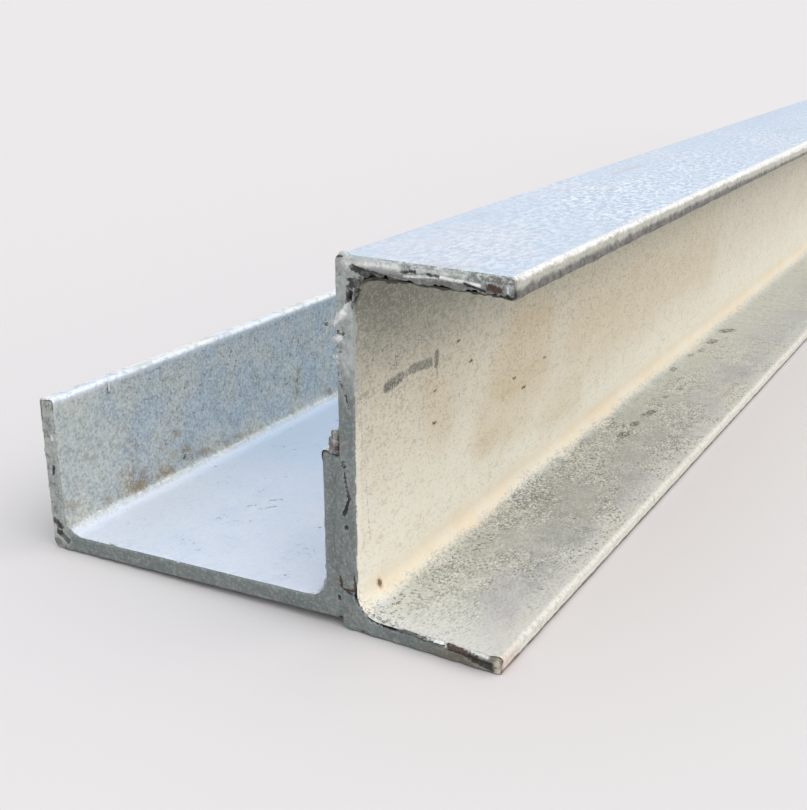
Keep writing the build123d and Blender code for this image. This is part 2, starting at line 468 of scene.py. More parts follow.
def channel_surface(s, place, slants, seed):
    """A channel: the section's boundary carried along Y, closed by the section grid at both ends.
    Zinc swells it along its outward normal. The near cut slants evenly with the section's two
    directions, and the slant fades out along the post's first 60 mm."""
    grid = section_grid(s)
    rows, columns = grid.shape[:2]
    through = np.broadcast_to(np.linspace(0, 1, columns), (rows, columns))
    loop, ring_through = loop_of(grid), loop_of(through)
    ring_zones = zones(s, loop[:, 0], loop[:, 1], ring_through)
    y, y_inset = stations(POST_LENGTH, s.cut_rounding, first=0.5 * MM, growth=1.024, largest=12 * MM)
    swell = swelling(s, loop, ring_through, ring_zones["toe"], y, seed) - y_inset[:, None]
    section = loop + outward(loop) * swell[..., None]
    x, z = place(section[..., 0], section[..., 1])
    slope = (loop @ slants) * (1 - step(y, 0, 60 * MM))[:, None]
    rings = np.stack([x, NEAR_END + y[:, None] + slope, z], -1)

    inside = grid[1:-1, 1:-1]
    cap_x, cap_z = place(inside[..., 0], inside[..., 1])
    near = np.stack([cap_x, NEAR_END + inside @ slants + s.cap_depth, cap_z], -1)
    far = np.stack([cap_x, np.full_like(cap_x, NEAR_END + POST_LENGTH), cap_z], -1)
    points = np.concatenate([part.reshape(-1, 3) for part in (rings, near, far)])

    ring_size, ring_count, cells = len(loop), len(y), cap_x.size
    last_ring, first_cell = ring_size * (ring_count - 1), ring_size * ring_count
    near_quads = cap_faces(rows, columns, 0, first_cell)[:, ::-1]
    far_quads = cap_faces(rows, columns, last_ring, first_cell + cells)
    faces = np.concatenate([grid_faces(ring_count, ring_size, True), near_quads, far_quads])
    outer = OUTER_SLOT * np.tile(np.arange(ring_size) < rows - 1, ring_count - 1)
    slots = np.concatenate([outer, np.full(len(near_quads) + len(far_quads), CUT_SLOT)])

    attributes = {}
    for name, values in ring_zones.items():
        middle = through[1:-1, 1:-1].ravel() if name == "through" else np.zeros(cells)
        attributes[name] = np.concatenate([np.tile(values, ring_count), middle, middle])
    return points, faces, attributes, slots


def tear(points, seed):
    """How far an edge is torn back there, from 0 to about 1: clipped waves of three lengths."""
    return np.clip(0.42 + lumps(points, seed, (6, 0.30), (2.2, 0.26), (1, 0.16)), 0, 1.3)


def away_from(x, z, x0, z0, x1, z1):
    """Distance of each point to the straight line between two places."""
    along = (x - x0) * (x1 - x0) + (z - z0) * (z1 - z0)
    t = np.clip(along / ((x1 - x0) ** 2 + (z1 - z0) ** 2), 0, 1)
    return np.hypot(x - x0 - t * (x1 - x0), z - z0 - t * (z1 - z0))


def raised(x, z, relief):
    """Sum of the relief's ridges and pits: height times a bell curve of the distance to a line."""
    total = np.zeros_like(x)
    for row in relief:
        *line, radius, height = (value * MM for value in row)
        total += height * np.exp(-(away_from(x, z, *line) / radius) ** 2)
    return total


def marked(points, marks):
    """Strongest mark at each point: 1 on a mark's line, falling to nothing at twice its radius."""
    strongest = np.zeros(len(points))
    for *line, radius, strength in marks:
        away = away_from(points[:, 0], points[:, 2], *(value * MM for value in line))
        strongest = np.maximum(strongest, strength * np.clip(1 - away / (2 * radius * MM), 0, 1))
    return strongest


def end_marks(points, near):
    """The marks of a sawn end: dark ones, partly painted shadow; rusty ones; and bright ones, which are
    painted highlights; none at the far end.
    """
    tables = {"dark": END_DARK, "rusty": END_RUST, "bright": END_HIGHLIGHTS}
    return {name: marked(points, marks if near else ()) for name, marks in tables.items()}


def roughness_of_edge(s, edge):
    """Flanges' inner edges are torn more than the web's, but less towards their toes, and least
    on the lower one."""
    out, up = edge[:, 0], edge[:, 1]
    near_flange = np.minimum(up, s.section_height - up)
    whole = step(out, 15 * MM, 18 * MM) * (0.55 + 0.45 * (1 - step(up, 8 * MM, 12 * MM)))
    return (0.12 + 0.88 * (1 - step(near_flange, 8 * MM, 16 * MM))) * (1 - 0.85 * whole)


def end_skin(s, place, slants, relief, torn, side, seed):
    """Zinc over a sawn end, side -1 at the near end and 1 at the far one: the fine section grid,
    its rim sunk in the steel, its inner edge torn back, and waves, ridges and pits on its face."""
    grid = section_grid(s, 3)
    thickness = grid[:, -1] - grid[:, 0]
    deep = np.linalg.norm(thickness, axis=1)
    v = np.linspace(0, 1, grid.shape[1])
    torn = torn * s.torn * roughness_of_edge(s, grid[:, -1]) * tear(grid[:, -1], seed)
    torn[[0, -1]] = 0
    pulled = torn[:, None] * np.clip(2 * v - 1, 0, 1)
    flat = grid - (thickness / np.maximum(deep, 1e-9)[:, None])[:, None] * pulled[..., None]
    spacing = np.linalg.norm(np.diff(grid[:, 1], axis=0), axis=1)
    path = np.concatenate([[0], np.cumsum(spacing)])
    from_toe = np.minimum(path, path[-1] - path)
    rim = np.minimum(np.minimum(v, 1 - v) * 4.8 * MM, from_toe[:, None])
    lift = np.sqrt(step(rim, 0, 0.6 * MM))
    x, z = place(flat[..., 0], flat[..., 1])
    wavy = lumps(flat, seed + 5, (7, 0.10), (2.4, 0.07), (1, 0.035))
    height = s.skin * (1.3 * lift - 0.3) + lift * (wavy * MM + raised(x, z, relief))
    height = np.maximum(height, lift * 0.05 * MM - 0.3 * s.skin)
    base = NEAR_END + (flat @ slants if side < 0 else POST_LENGTH)
    points = np.stack([x, base + side * height, z], -1)
    attributes = end_marks(points.reshape(-1, 3), side < 0)
    attributes["through"] = np.broadcast_to(v * 0.86, grid.shape[:2]).ravel()
    return points, attributes


def torn_lip(s, place, slants, torn, seed):
    """Edge of the zinc inside the near end: a band along the inner face, thick at its torn front
    and thinning out into the face behind it."""
    grid = section_grid(s, 3)
    inner = grid[:, -1]
    along = unit(np.gradient(inner, axis=0))
    normal = np.stack([along[:, 1], -along[:, 0]], 1)
    rough = roughness_of_edge(s, inner)
    front = (0.15 + 1.6 * torn * rough * tear(inner, seed + 1) ** 1.5) * MM
    depth = np.array(LIP_DEPTHS) * MM
    thick = np.array(LIP_THICKNESS)
    ends = step(np.minimum(np.arange(len(inner)), np.arange(len(inner))[::-1]), 0, 8)
    uneven = 1 + lumps(inner, seed + 3, (5, 0.35), (1.8, 0.2))
    height = s.lip * (0.35 + 0.65 * rough) * np.clip(uneven, 0.2, 2) * ends
    rise = np.where(thick < 0, thick * 0.3 * MM, thick * height[:, None])
    shape = inner[:, None] + normal[:, None] * rise[..., None]
    x, z = place(shape[..., 0], shape[..., 1])
    y = NEAR_END + (inner @ slants + front)[:, None] + depth
    points = np.stack([x, y, z], -1)
    values = zones(s, inner[:, 0], inner[:, 1], np.ones(len(inner)))
    values["toe"] = 0 * values["toe"]
    attributes = {name: np.repeat(value, len(depth)) for name, value in values.items()}
    return points, attributes


def cushion(grid):
    """A raised skin: a grid whose rim is sunk in the steel, closed underneath from rim to rim."""
    rows, columns = grid.shape[:2]
    index = np.arange(rows * columns).reshape(rows, columns)
    under = np.stack([index[1:, 0], index[:-1, 0], index[:-1, -1], index[1:, -1]], 1)
    first, last = index[0], index[-1]
    start = np.stack([np.full(columns - 2, first[0]), first[1:-1], first[2:]], 1)
    end = np.stack([np.full(columns - 2, last[0]), last[2:], last[1:-1]], 1)
    quads = np.concatenate([quads_of(index), under])
    return grid.reshape(-1, 3), quads, np.concatenate([start, end])


def tube(centres, side, proud, widths, heights, seed, around=20, rough=0.12):
    """A closed bead: an ellipse with half axes widths along side and heights along proud, carried
    along the centres, roughened by waves and closed by a pole at both ends."""
    turn = np.linspace(0, 2 * np.pi, around, endpoint=False)
    centres = np.asarray(centres, float)
    side, proud = np.broadcast_to(side, centres.shape), np.broadcast_to(proud, centres.shape)
    ring = (
        widths[:, None, None] * np.cos(turn)[None, :, None] * side[:, None]
        + heights[:, None, None] * np.sin(turn)[None, :, None] * proud[:, None]
    )
    surface = centres[:, None] + ring
    uneven = lumps(surface, seed, (2.2, 0.6), (1, 0.4))
    surface = centres[:, None] + ring * (1 + rough * uneven[..., None])
    rows = len(centres)
    points = np.concatenate([surface.reshape(-1, 3), centres[:1], centres[-1:]])
    sides = grid_faces(rows, around, True)
    first = np.arange(around)
    last = first + around * (rows - 1)
    pole = rows * around
    start = np.stack([np.full(around, pole), first, np.roll(first, -1)], 1)
    end = np.stack([np.full(around, pole + 1), np.roll(last, -1), last], 1)
    return points, sides, np.concatenate([start, end])


def bead(y, x, z, wide, deep, seed, around, rough=0.12, turn=0.0):
    """A closed bead along the post at one X and Z, its ellipse turned towards Z by an angle."""
    centres = np.stack([np.full_like(y, x), y, np.full_like(y, z)], 1)
    side, proud = (cos(turn), 0, sin(turn)), (-sin(turn), 0, cos(turn))
    return tube(centres, side, proud, wide, deep, seed, around, rough)


def horn(rows, seed):
    """A drip of zinc: a round tube along smoothed stations of X, Y, Z and radius, blunt at the tip."""
    rows = np.array(rows) * MM
    t = np.linspace(0, len(rows) - 1, 26)
    x, y, z, radius = (np.interp(t, np.arange(len(rows)), rows[:, k]) for k in range(4))
    centres = np.stack([x, y, z], 1)
    along = unit(np.gradient(centres, axis=0))
    side = unit(np.cross(along, (0.0, 1.0, 0.0)))
    proud = np.cross(along, side)
    ends = np.sqrt(1 - (1 - np.clip(np.minimum(t, t[-1] - t) / 0.5, 0.02, 1)) ** 2)
    return tube(centres, side, proud, radius * ends, radius * ends, seed, 18, 0.12)


def signed_volume(points, triangles):
    """Six times the volume that the triangles enclose, negative where they face inwards."""
    a, b, c = points[triangles[:, 0]], points[triangles[:, 1]], points[triangles[:, 2]]
    return np.einsum("ij,ij->", a, np.cross(b, c))


def triangles_of(quads):
    return np.concatenate([quads[:, [0, 1, 2]], quads[:, [0, 2, 3]]])


def joined(parts):
    """Several closed forms as one set of points, quads and triangles, each facing outwards."""
    points, quads, triangles, shift = [], [], [], 0
    for part_points, part_quads, part_triangles in parts:
        tested = np.concatenate([triangles_of(part_quads), part_triangles])
        if signed_volume(part_points - part_points.mean(0), tested) < 0:
            part_quads, part_triangles = part_quads[:, ::-1], part_triangles[:, ::-1]
        points.append(part_points)
        quads.append(part_quads + shift)
        triangles.append(part_triangles + shift)
        shift += len(part_points)
    return np.concatenate(points), np.concatenate(quads), np.concatenate(triangles)


def new_piece(name, parts, materials, attributes=None, slots=None):
    """Puts closed forms into a mesh object at the origin, with their materials and attributes."""
    points, quads, triangles = joined(parts)
    mesh = bpy.data.meshes.new(name)
    counts = np.concatenate([np.full(len(quads), 4), np.full(len(triangles), 3)])
    corners = np.concatenate([quads.ravel(), triangles.ravel()]).astype(np.int32)
    mesh.vertices.add(len(points))
    mesh.vertices.foreach_set("co", points.astype(np.float32).ravel())
    mesh.loops.add(len(corners))
    mesh.loops.foreach_set("vertex_index", corners)
    mesh.polygons.add(len(counts))
    mesh.polygons.foreach_set("loop_start", (np.cumsum(counts) - counts).astype(np.int32))
    mesh.polygons.foreach_set("loop_total", counts.astype(np.int32))
    for material in materials:
        mesh.materials.append(material)
    if slots is not None:
        mesh.polygons.foreach_set("material_index", slots.astype(np.int32))
    mesh.polygons.foreach_set("use_smooth", np.ones(len(counts), bool))
    mesh.update(calc_edges=True)
    mesh.validate()
    for key, values in (attributes or {}).items():
        mesh.attributes.new(key, "FLOAT", "POINT").data.foreach_set("value", values.astype(np.float32))
    piece = bpy.data.objects.new(name, mesh)
    bpy.context.scene.collection.objects.link(piece)
    return piece


# Node trees


class Tree:
    """Short ways to add nodes: each returns the new node's output socket, or all of them."""

    def __init__(self, tree):
        self.tree = tree
        tree.nodes.clear()

    def node(self, kind, inputs=None, out=0, **settings):
        """A new node: inputs that are sockets are linked, and other values are set."""
        node = self.tree.nodes.new(kind)
        for key, value in settings.items():
            setattr(node, key, value)
        for key, value in (inputs or {}).items():
            if isinstance(value, bpy.types.NodeSocket):
                self.tree.links.new(value, node.inputs[key])
            elif value is not None:
                node.inputs[key].default_value = value
        return node.outputs if out is None else node.outputs[out]

    def math(self, operation, a, b=None, clamp=False):
        return self.node("ShaderNodeMath", {0: a, 1: b}, operation=operation, use_clamp=clamp)

    def times(self, *values):
        return reduce(lambda a, b: self.math("MULTIPLY", a, b), values)

    def most(self, *values):
        return reduce(lambda a, b: self.math("MAXIMUM", a, b), values)

    def plus(self, a, b):
        return self.math("ADD", a, b)

    def less(self, a, b):
        return self.math("SUBTRACT", a, b)

    def vector_math(self, operation, a, b=None, out=0):
        return self.node("ShaderNodeVectorMath", {0: a, 1: b}, out, operation=operation)

    def scaled(self, vector, factor):
        return self.node("ShaderNodeVectorMath", {0: vector, "Scale": factor}, operation="SCALE")

    def fit(self, value, low, high, new_low=0.0, new_high=1.0):
        """Smooth step of value from low to high, put out between two new values."""
        return self.node(
            "ShaderNodeMapRange", {0: value, 1: low, 2: high, 3: new_low, 4: new_high},
            interpolation_type="SMOOTHSTEP",
        )

    def span(self, value, low, high, *new):
        """Smooth step between two places in millimetres."""
        return self.fit(value, low * MM, high * MM, *new)

    def along(self, value, low, high, *new):
        """Smooth step between two distances from the near end in millimetres."""
        return self.fit(value, NEAR_END + low * MM, NEAR_END + high * MM, *new)

    def moved(self, value, pattern, reach):
        """A place moved by a pattern, by so many millimetres where the pattern is 1."""
        return self.plus(value, self.times(pattern, reach * MM))

    def over(self, under, paint, *masks):
        """Colour paint laid over colour under, by the product of the masks."""
        under, paint = (getattr(c, "colour", c) for c in (under, paint))
        under, paint = (c if isinstance(c, bpy.types.NodeSocket) else (*c, 1) for c in (under, paint))
        return self.node("ShaderNodeMix", {0: self.times(*masks), 6: under, 7: paint}, 2, data_type="RGBA")

    def coats(self, under, paint, *masks):
        """The same as a start for more coats."""
        return Coats(self, self.over(under, paint, *masks))

    def between(self, factor, a, b):
        return self.node("ShaderNodeMix", {0: factor, 2: a, 3: b}, 0, data_type="FLOAT")

    def noise(self, vector, scale, detail=2.0, rough=0.5, distort=0.0, out=0):
        inputs = {"Vector": vector, "Scale": scale, "Detail": detail, "Roughness": rough}
        return self.node("ShaderNodeTexNoise", inputs | {"Distortion": distort}, out)

    def patchy(self, vector, scale, detail, rough, *levels):
        """Noise through a smooth step."""
        return self.fit(self.noise(vector, scale, detail, rough), *levels)

    def stretch(self, vector, scale, turn=(0, 0, 0)):
        return self.node("ShaderNodeMapping", {"Vector": vector, "Scale": scale, "Rotation": turn})

    def attribute(self, name):
        return self.node("ShaderNodeAttribute", out=2, attribute_name=name)

    def place(self):
        """Object coordinates, and their X, Y and Z."""
        place = self.node("ShaderNodeTexCoord", out=3)
        return (place, *self.node("ShaderNodeSeparateXYZ", {0: place}, None))

    def group(self, name, out=None, **inputs):
        return self.node("ShaderNodeGroup", inputs, out, node_tree=bpy.data.node_groups[name])

    def give(self, **sockets):
        """Links sockets to a group's outputs of those names."""
        for name, socket in sockets.items():
            self.tree.links.new(socket, self.end.inputs[name])


class Coats:
    """A colour that takes one coat of paint after another."""

    def __init__(self, t, colour):
        self.t, self.colour = t, colour

    def lay(self, paint, *masks):
        self.colour = self.t.over(self.colour, paint, *masks)


VECTORS = ("Vector", "Start", "End", "Stretch")


def new_group(name, inputs, outputs):
    """A shader node group with named sockets; returns its tree and its inputs."""
    tree = bpy.data.node_groups.new(name, "ShaderNodeTree")
    t = Tree(tree)
    for way, keys in (("INPUT", inputs), ("OUTPUT", outputs)):
        for key in keys.split():
            kind = "NodeSocketVector" if key in VECTORS else "NodeSocketFloat"
            tree.interface.new_socket(key, in_out=way, socket_type=kind)
    entry = tree.nodes.new("NodeGroupInput")
    t.end = tree.nodes.new("NodeGroupOutput")
    return t, entry.outputs


def build_groups():
    """Effects that several materials use."""
    if "Zinc clouds" in bpy.data.node_groups:
        return

    # Cloudy patches at two sizes, and the waves that they make
    t, i = new_group("Zinc clouds", "Vector Scale", "Patches Flecks Height")
    broad = t.noise(i["Vector"], i["Scale"], 6, 0.62, 0.4)
    fine = t.noise(i["Vector"], t.times(i["Scale"], 8.0), 4, 0.75)
    t.give(Patches=t.fit(broad, 0.40, 0.62), Flecks=t.fit(fine, 0.40, 0.62))
    t.give(Height=t.plus(t.times(broad, 0.6), t.times(fine, 0.4)))

    # Grain: fine and coarse grains together, dark where they are high and light where low
    t, i = new_group("Grain", "Vector Scale", "Dark Light Height")
    fine = t.noise(i["Vector"], i["Scale"], 2, 0.7)
    coarse = t.noise(i["Vector"], t.times(i["Scale"], 0.3), 3, 0.8)
    value = t.plus(t.times(fine, 0.65), t.times(coarse, 0.35))
    t.give(Dark=t.fit(value, 0.52, 0.58), Light=t.fit(value, 0.48, 0.42), Height=t.less(1.0, value))

    # Worms: short crooked dark lines, each with a light side that is a painted highlight and gives them an
    # embossed look
    t, i = new_group("Worms", "Vector Scale", "Mask Light")
    field = t.noise(i["Vector"], i["Scale"], 2, 0.6, 0.6)
    moved = t.node("ShaderNodeMapping", {"Vector": i["Vector"], "Location": (3.1, 1.7, 5.3)})
    breaks = t.patchy(moved, i["Scale"], 3, 0.7, 0.50, 0.58)
    for name, level in (("Mask", 0.50), ("Light", 0.535)):
        off = t.math("ABSOLUTE", t.less(field, level))
        t.give(**{name: t.times(breaks, t.fit(off, 0.032, 0.012))})

    # Streaks: noise that is stretched along one direction before it is read
    t, i = new_group("Streaks", "Vector Stretch From", "Mask")
    lines = t.noise(t.stretch(i["Vector"], i["Stretch"]), 1.0, 4, 0.75, 0.3)
    t.give(Mask=t.fit(lines, i["From"], t.plus(i["From"], 0.12)))

    # Small round pits: one in some of the cells, with a wider halo round each
    t, i = new_group("Pits", "Vector Scale Share Size", "Mask Halo")
    cell = t.node("ShaderNodeTexVoronoi", {"Vector": i["Vector"], "Scale": i["Scale"]}, None)
    chosen = t.node("ShaderNodeSeparateColor", {0: cell["Color"]}, None)
    wanted = t.math("LESS_THAN", chosen[0], i["Share"])
    size = t.times(i["Size"], t.fit(chosen[1], 0, 1, 0.5, 1.4))
    ragged = t.times(t.less(t.noise(i["Vector"], t.times(i["Scale"], 8.0), 3, 0.7), 0.5), size, 3.0)
    away = t.plus(cell["Distance"], ragged)
    for name, wide in (("Mask", 1.0), ("Halo", 2.6)):
        inside = t.fit(away, t.times(size, wide * 1.3), t.times(size, wide * 0.6))
        t.give(**{name: t.times(wanted, inside)})

    # Fray: the place moved a little by noise, so that what is drawn with it gets a ragged edge
    t, i = new_group("Fray", "Vector Scale Amount", "Vector")
    jolt = t.vector_math("SUBTRACT", t.noise(i["Vector"], i["Scale"], 4, 0.7, out=1), (0.5, 0.5, 0.5))
    t.give(Vector=t.vector_math("ADD", i["Vector"], t.scaled(jolt, i["Amount"])))

    # Stroke: near the straight line between two places, with a wider soft halo
    t, i = new_group("Stroke", "Vector Start End Radius", "Mask Halo")
    to_point = t.vector_math("SUBTRACT", i["Vector"], i["Start"])
    whole = t.vector_math("SUBTRACT", i["End"], i["Start"])
    reach = t.vector_math("DOT_PRODUCT", to_point, whole, 1)
    along = t.math("DIVIDE", reach, t.vector_math("DOT_PRODUCT", whole, whole, 1), clamp=True)
    foot = t.scaled(whole, along)
    away = t.vector_math("LENGTH", t.vector_math("SUBTRACT", to_point, foot), None, 1)
    ratio = t.math("DIVIDE", away, i["Radius"])
    t.give(Mask=t.fit(ratio, 1.15, 0.6), Halo=t.fit(ratio, 2.4, 0.5))


def strokes(t, vector, marks):
    """The strongest of several strokes, and of the halos round them."""
    mask = halo = 0.0
    for *places, radius, strength in marks:
        start, end = ((x * MM, NEAR_END + y * MM, z * MM) for x, y, z in places)
        node = t.group("Stroke", Vector=vector, Start=start, End=end, Radius=radius * MM)
        mask = t.most(t.times(node["Mask"], strength), mask)
        halo = t.most(t.times(node["Halo"], strength), halo)
    return mask, halo


def finish(name, paint):
    """A material whose colour, roughness, height and metal share come from paint."""
    if name in bpy.data.materials:
        return bpy.data.materials[name]
    build_groups()
    material = bpy.data.materials.new(name)
    material.use_nodes = True
    t = Tree(material.node_tree)
    shader = t.tree.nodes.new("ShaderNodeBsdfPrincipled")
    output = t.tree.nodes.new("ShaderNodeOutputMaterial")
    t.tree.links.new(shader.outputs[0], output.inputs[0])
    base, rough, height, metallic = paint(t, colours())
    shader.inputs["Metallic"].default_value = metallic
    bump = t.node("ShaderNodeBump", {"Height": height, "Strength": 1.0, "Distance": 1.0 * MM})
    for key, socket in (("Base Color", base.colour), ("Roughness", rough), ("Normal", bump)):
        t.tree.links.new(socket, shader.inputs[key])
    return material


# Faces that carry marks, in millimetres: X of the upright web's inside and of the outer flange's
# inside, and Z of the lower flange, the top flange, the trough's floor and its near edge
WEB_FACE, WALL_FACE = 32.2, -68.5
FLANGE_FACE, TOP_FACE, TROUGH_FACE, TROUGH_EDGE = 4.8, 100, 6, 5


def on_side(x, *rows):
    """Marks on an upright face at that X. Each row has the start's distance from the near end and
    its height, those of the end, a radius, all in millimetres, and a strength."""
    return [((x, a, b), (x, c, d), radius, strength) for a, b, c, d, radius, strength in rows]


def on_level(z, *rows):
    """Marks on a level face at that Z. Each row has the start's X and its distance from the near
    end, those of the end, a radius, all in millimetres, and a strength."""
    return [((a, b, z), (c, d, z), radius, strength) for a, b, c, d, radius, strength in rows]


# Stretch that draws a pattern out along the post
ALONG_POST = (1, 0.45, 1)

# Marks that the real post carries
WEB_SMUDGES = on_side(
    WEB_FACE,
    (13.8, 63.4, 20.6, 64.1, 1.7, 1), (20.6, 64.1, 25, 64.7, 1, 0.7),
    (26.4, 64.9, 37.3, 63.9, 1.5, 0.9), (40.5, 65.6, 40.4, 62.6, 1.3, 1),
    (40.7, 60.8, 41.1, 58.8, 0.7, 0.5), (1.2, 64.4, 4.4, 64.8, 0.8, 0.5),
)
WEB_LINES = on_side(
    WEB_FACE,
    (3.9, 41.8, 4.8, 33.1, 0.16, 0.9), (4.8, 33.1, 5.8, 24.2, 0.13, 0.8),
    (54.5, 50.6, 54.7, 48.8, 0.2, 0.8), (1.4, 60.5, 2.2, 50, 0.2, 0.6),
    (61, 60.4, 62.8, 56.2, 0.15, 0.5),
)
WEB_DOTS = on_side(
    WEB_FACE,
    (52.8, 65.7, 54.2, 65.7, 0.38, 0.9), (60.9, 57.8, 62.3, 57.8, 0.38, 1),
    (38.8, 55.1, 40.2, 55.1, 0.42, 1), (38.7, 45.8, 40.3, 45.8, 0.52, 1),
    (91.5, 44.1, 93.3, 44.1, 0.42, 0.9), (99, 38.9, 101.2, 38.9, 0.5, 1),
    (115.6, 44.6, 117.6, 44.6, 0.42, 0.8),
)
FLANGE_SPECKS = on_level(
    FLANGE_FACE,
    (45.8, 161, 45.8, 164.5, 1.9, 1), (45.3, 174.5, 45.3, 178, 1.7, 1),
    (45.6, 187.5, 46.6, 193.5, 1.9, 1), (46.9, 201, 46.9, 202.5, 1, 0.8),
    (41.6, 207, 41.6, 209, 0.9, 0.6), (45.4, 212, 45.4, 215, 1.1, 0.7),
    (47.4, 225, 47.4, 227.5, 1, 0.55), (43.6, 238, 43.6, 241, 1.1, 0.55),
    (37, 248, 37, 251.5, 1.3, 0.8), (36.8, 273, 36.8, 276.5, 1.4, 0.8),
    (38.9, 284, 38.9, 288.5, 1.5, 0.75), (39, 299, 39, 305, 2.2, 0.95),
    (38.3, 322, 41.2, 327.5, 2.6, 1),
)
WEB_CLOUDS = on_side(
    WEB_FACE,
    (95, 59, 113, 57, 7, 0.75), (86, 44, 110, 42, 8.5, 1), (74, 33, 103, 32, 6.5, 0.8),
    (120, 26, 145, 24, 6, 0.6), (38, 56, 44, 44, 5, 0.4), (145, 48, 300, 46, 14, 0.5),
)
TOP_MARKS = on_level(
    TOP_FACE,
    (31, 37.7, 44.4, 38.5, 0.45, 0.9), (37.6, 153, 38.9, 180, 1.6, 0.5),
    (47, 118, 48.5, 123, 2.4, 0.35), (55, 315, 58.5, 338, 3, 0.3),
)
WALL_STAINS = on_side(
    WALL_FACE,
    (14, 9, 23, 8.2, 1.4, 0.6), (23, 12, 30, 9.5, 3, 1), (30, 8.6, 41, 8.8, 1.2, 0.7),
    (41, 9.3, 53.5, 11.5, 2.4, 1), (54, 9.6, 94, 7, 1.2, 0.6), (28.2, 23.1, 28, 13, 1.3, 0.7),
    (46, 21.5, 50, 19.9, 1, 0.7), (119, 21.5, 117.5, 14.5, 1.6, 0.9),
)
WALL_PITS = on_side(
    WALL_FACE,
    (19.4, 8.4, 19.8, 8.2, 0.7, 1), (51.8, 10.6, 52.4, 9.8, 0.8, 1), (118.5, 20, 118.1, 18.6, 0.6, 0.9),
    (20.2, 45.6, 20.6, 42.4, 0.9, 0.8),
) + on_level(
    TROUGH_FACE,
    (-28, 39.5, -25, 43.5, 0.4, 0.8), (-33, 39, -31, 41.5, 0.4, 0.8),
    (-29.5, 46.3, -27, 48.5, 0.4, 0.7), (-37, 51, -36.4, 53, 0.5, 0.6),
) + on_level(
    TROUGH_EDGE,
    (-25.6, -1.5, -22.6, -1.3, 0.8, 0.9), (2.4, -0.6, 5, -0.5, 0.9, 0.9),
    (-52, -2, -49, -1.8, 0.6, 0.8),
)
ROOT_SPOT = [((32.3, 10.1, 10.2), (32.5, 10.5, 9.4), 0.8, 1)]
WALL_CHIP = on_side(WALL_FACE, (20.2, 45.4, 20.6, 42.8, 0.5, 1))
FLOOR_RUST = on_level(
    TROUGH_FACE,
    (4, 19, 6, 20.4, 0.6, 0.8), (-37.2, 64.4, -36.2, 65.2, 0.6, 0.7),
)

# Marks of the near end's cut faces: X and Z of start and end, radius, in millimetres, and strength
# Dark marks: black scale in pits and cracks, partly painted shadow in the torn hollow of the upper root,
# under the top flange's burr and fold, and under the zinc that overhangs the lower flange's end
END_DARK = (
    (32.9, 97.4, 35.5, 96.3, 0.85, 1), (35.5, 96.3, 40.5, 95.6, 1, 1),
    (40.5, 95.6, 46.5, 95.1, 0.65, 1), (36.6, 95.2, 32.2, 93, 1.3, 0.75),
    (31.8, 93.8, 31.3, 89.6, 1, 0.7), (33.2, 92.2, 32.4, 87.8, 0.6, 0.9),
    (46.5, 95.2, 54, 95.4, 0.3, 0.7), (61.5, 97.2, 66.3, 96, 0.4, 0.9),
    (45.8, 98, 49.5, 98.4, 0.6, 0.6), (52.5, 98.2, 55.5, 98, 0.45, 0.6),
    (29.8, 99.6, 27.6, 99.2, 0.3, 0.8), (24.6, 82.5, 23.6, 82.2, 0.5, 1),
    (26, 78.7, 25.2, 78, 0.4, 0.9), (26.4, 75.2, 25.8, 75.6, 0.4, 0.9),
    (27, 81.4, 29.4, 80.6, 0.9, 0.6), (27.6, 77.6, 28.8, 76.4, 0.7, 0.5),
    (27.4, 72.4, 27.9, 70, 0.5, 0.5), (28, 69.5, 30.4, 63, 0.6, 0.45), (29.6, 66, 31, 61, 0.5, 0.35),
    (28.6, 48, 29.6, 45, 1.1, 0.5), (29, 44.6, 29.6, 41, 0.6, 0.6), (29.6, 39.8, 30.3, 38.2, 0.5, 1),
    (30.3, 38.2, 29.4, 35.4, 0.38, 1), (29.4, 35.4, 28.6, 33.3, 0.5, 1),
    (29.2, 29.8, 29.2, 29.5, 0.62, 1), (26.5, 9.2, 26.6, 8.4, 0.55, 0.9),
    (65, 2.9, 71.2, 1.8, 1.2, 0.85), (59, 3, 66, 2.6, 0.35, 0.9), (50.5, 3.9, 57.6, 3.7, 0.4, 0.7),
    (32, 10, 35.6, 6.2, 0.7, 0.9), (35.6, 6.2, 40, 4.9, 0.85, 1), (40, 4.9, 45, 4.5, 0.85, 1),
    (45, 4.6, 54.5, 4, 0.45, 0.9), (-74.4, 33.9, -74.2, 32.6, 0.6, 0.9),
    (-70.6, 25.8, -70.9, 24, 0.6, 0.8), (-74.3, 19.8, -74.2, 18.6, 0.5, 0.8),
    (-73.9, 46.4, -73.7, 42, 0.9, 0.8), (-73.9, 9.6, -69.6, 7.2, 1.3, 0.8),
    (-70.4, 5.2, -67.2, 3.1, 1.1, 0.8),
)
END_RUST = (
    (67.6, 97, 70, 96.6, 0.75, 0.9), (73.1, 98.4, 73.1, 95.8, 0.55, 0.9),
    (31.2, 16, 31.7, 12.4, 0.4, 0.8), (26.9, 13.6, 27.3, 11.7, 0.32, 0.9),
    (27.3, 11.7, 30.5, 10.9, 0.32, 0.9), (58.5, 4.3, 67, 3.6, 0.8, 0.75),
    (26.9, 14.9, 27.5, 11.8, 0.45, 0.9), (27.5, 11.8, 31.9, 12.2, 0.4, 0.8),
)
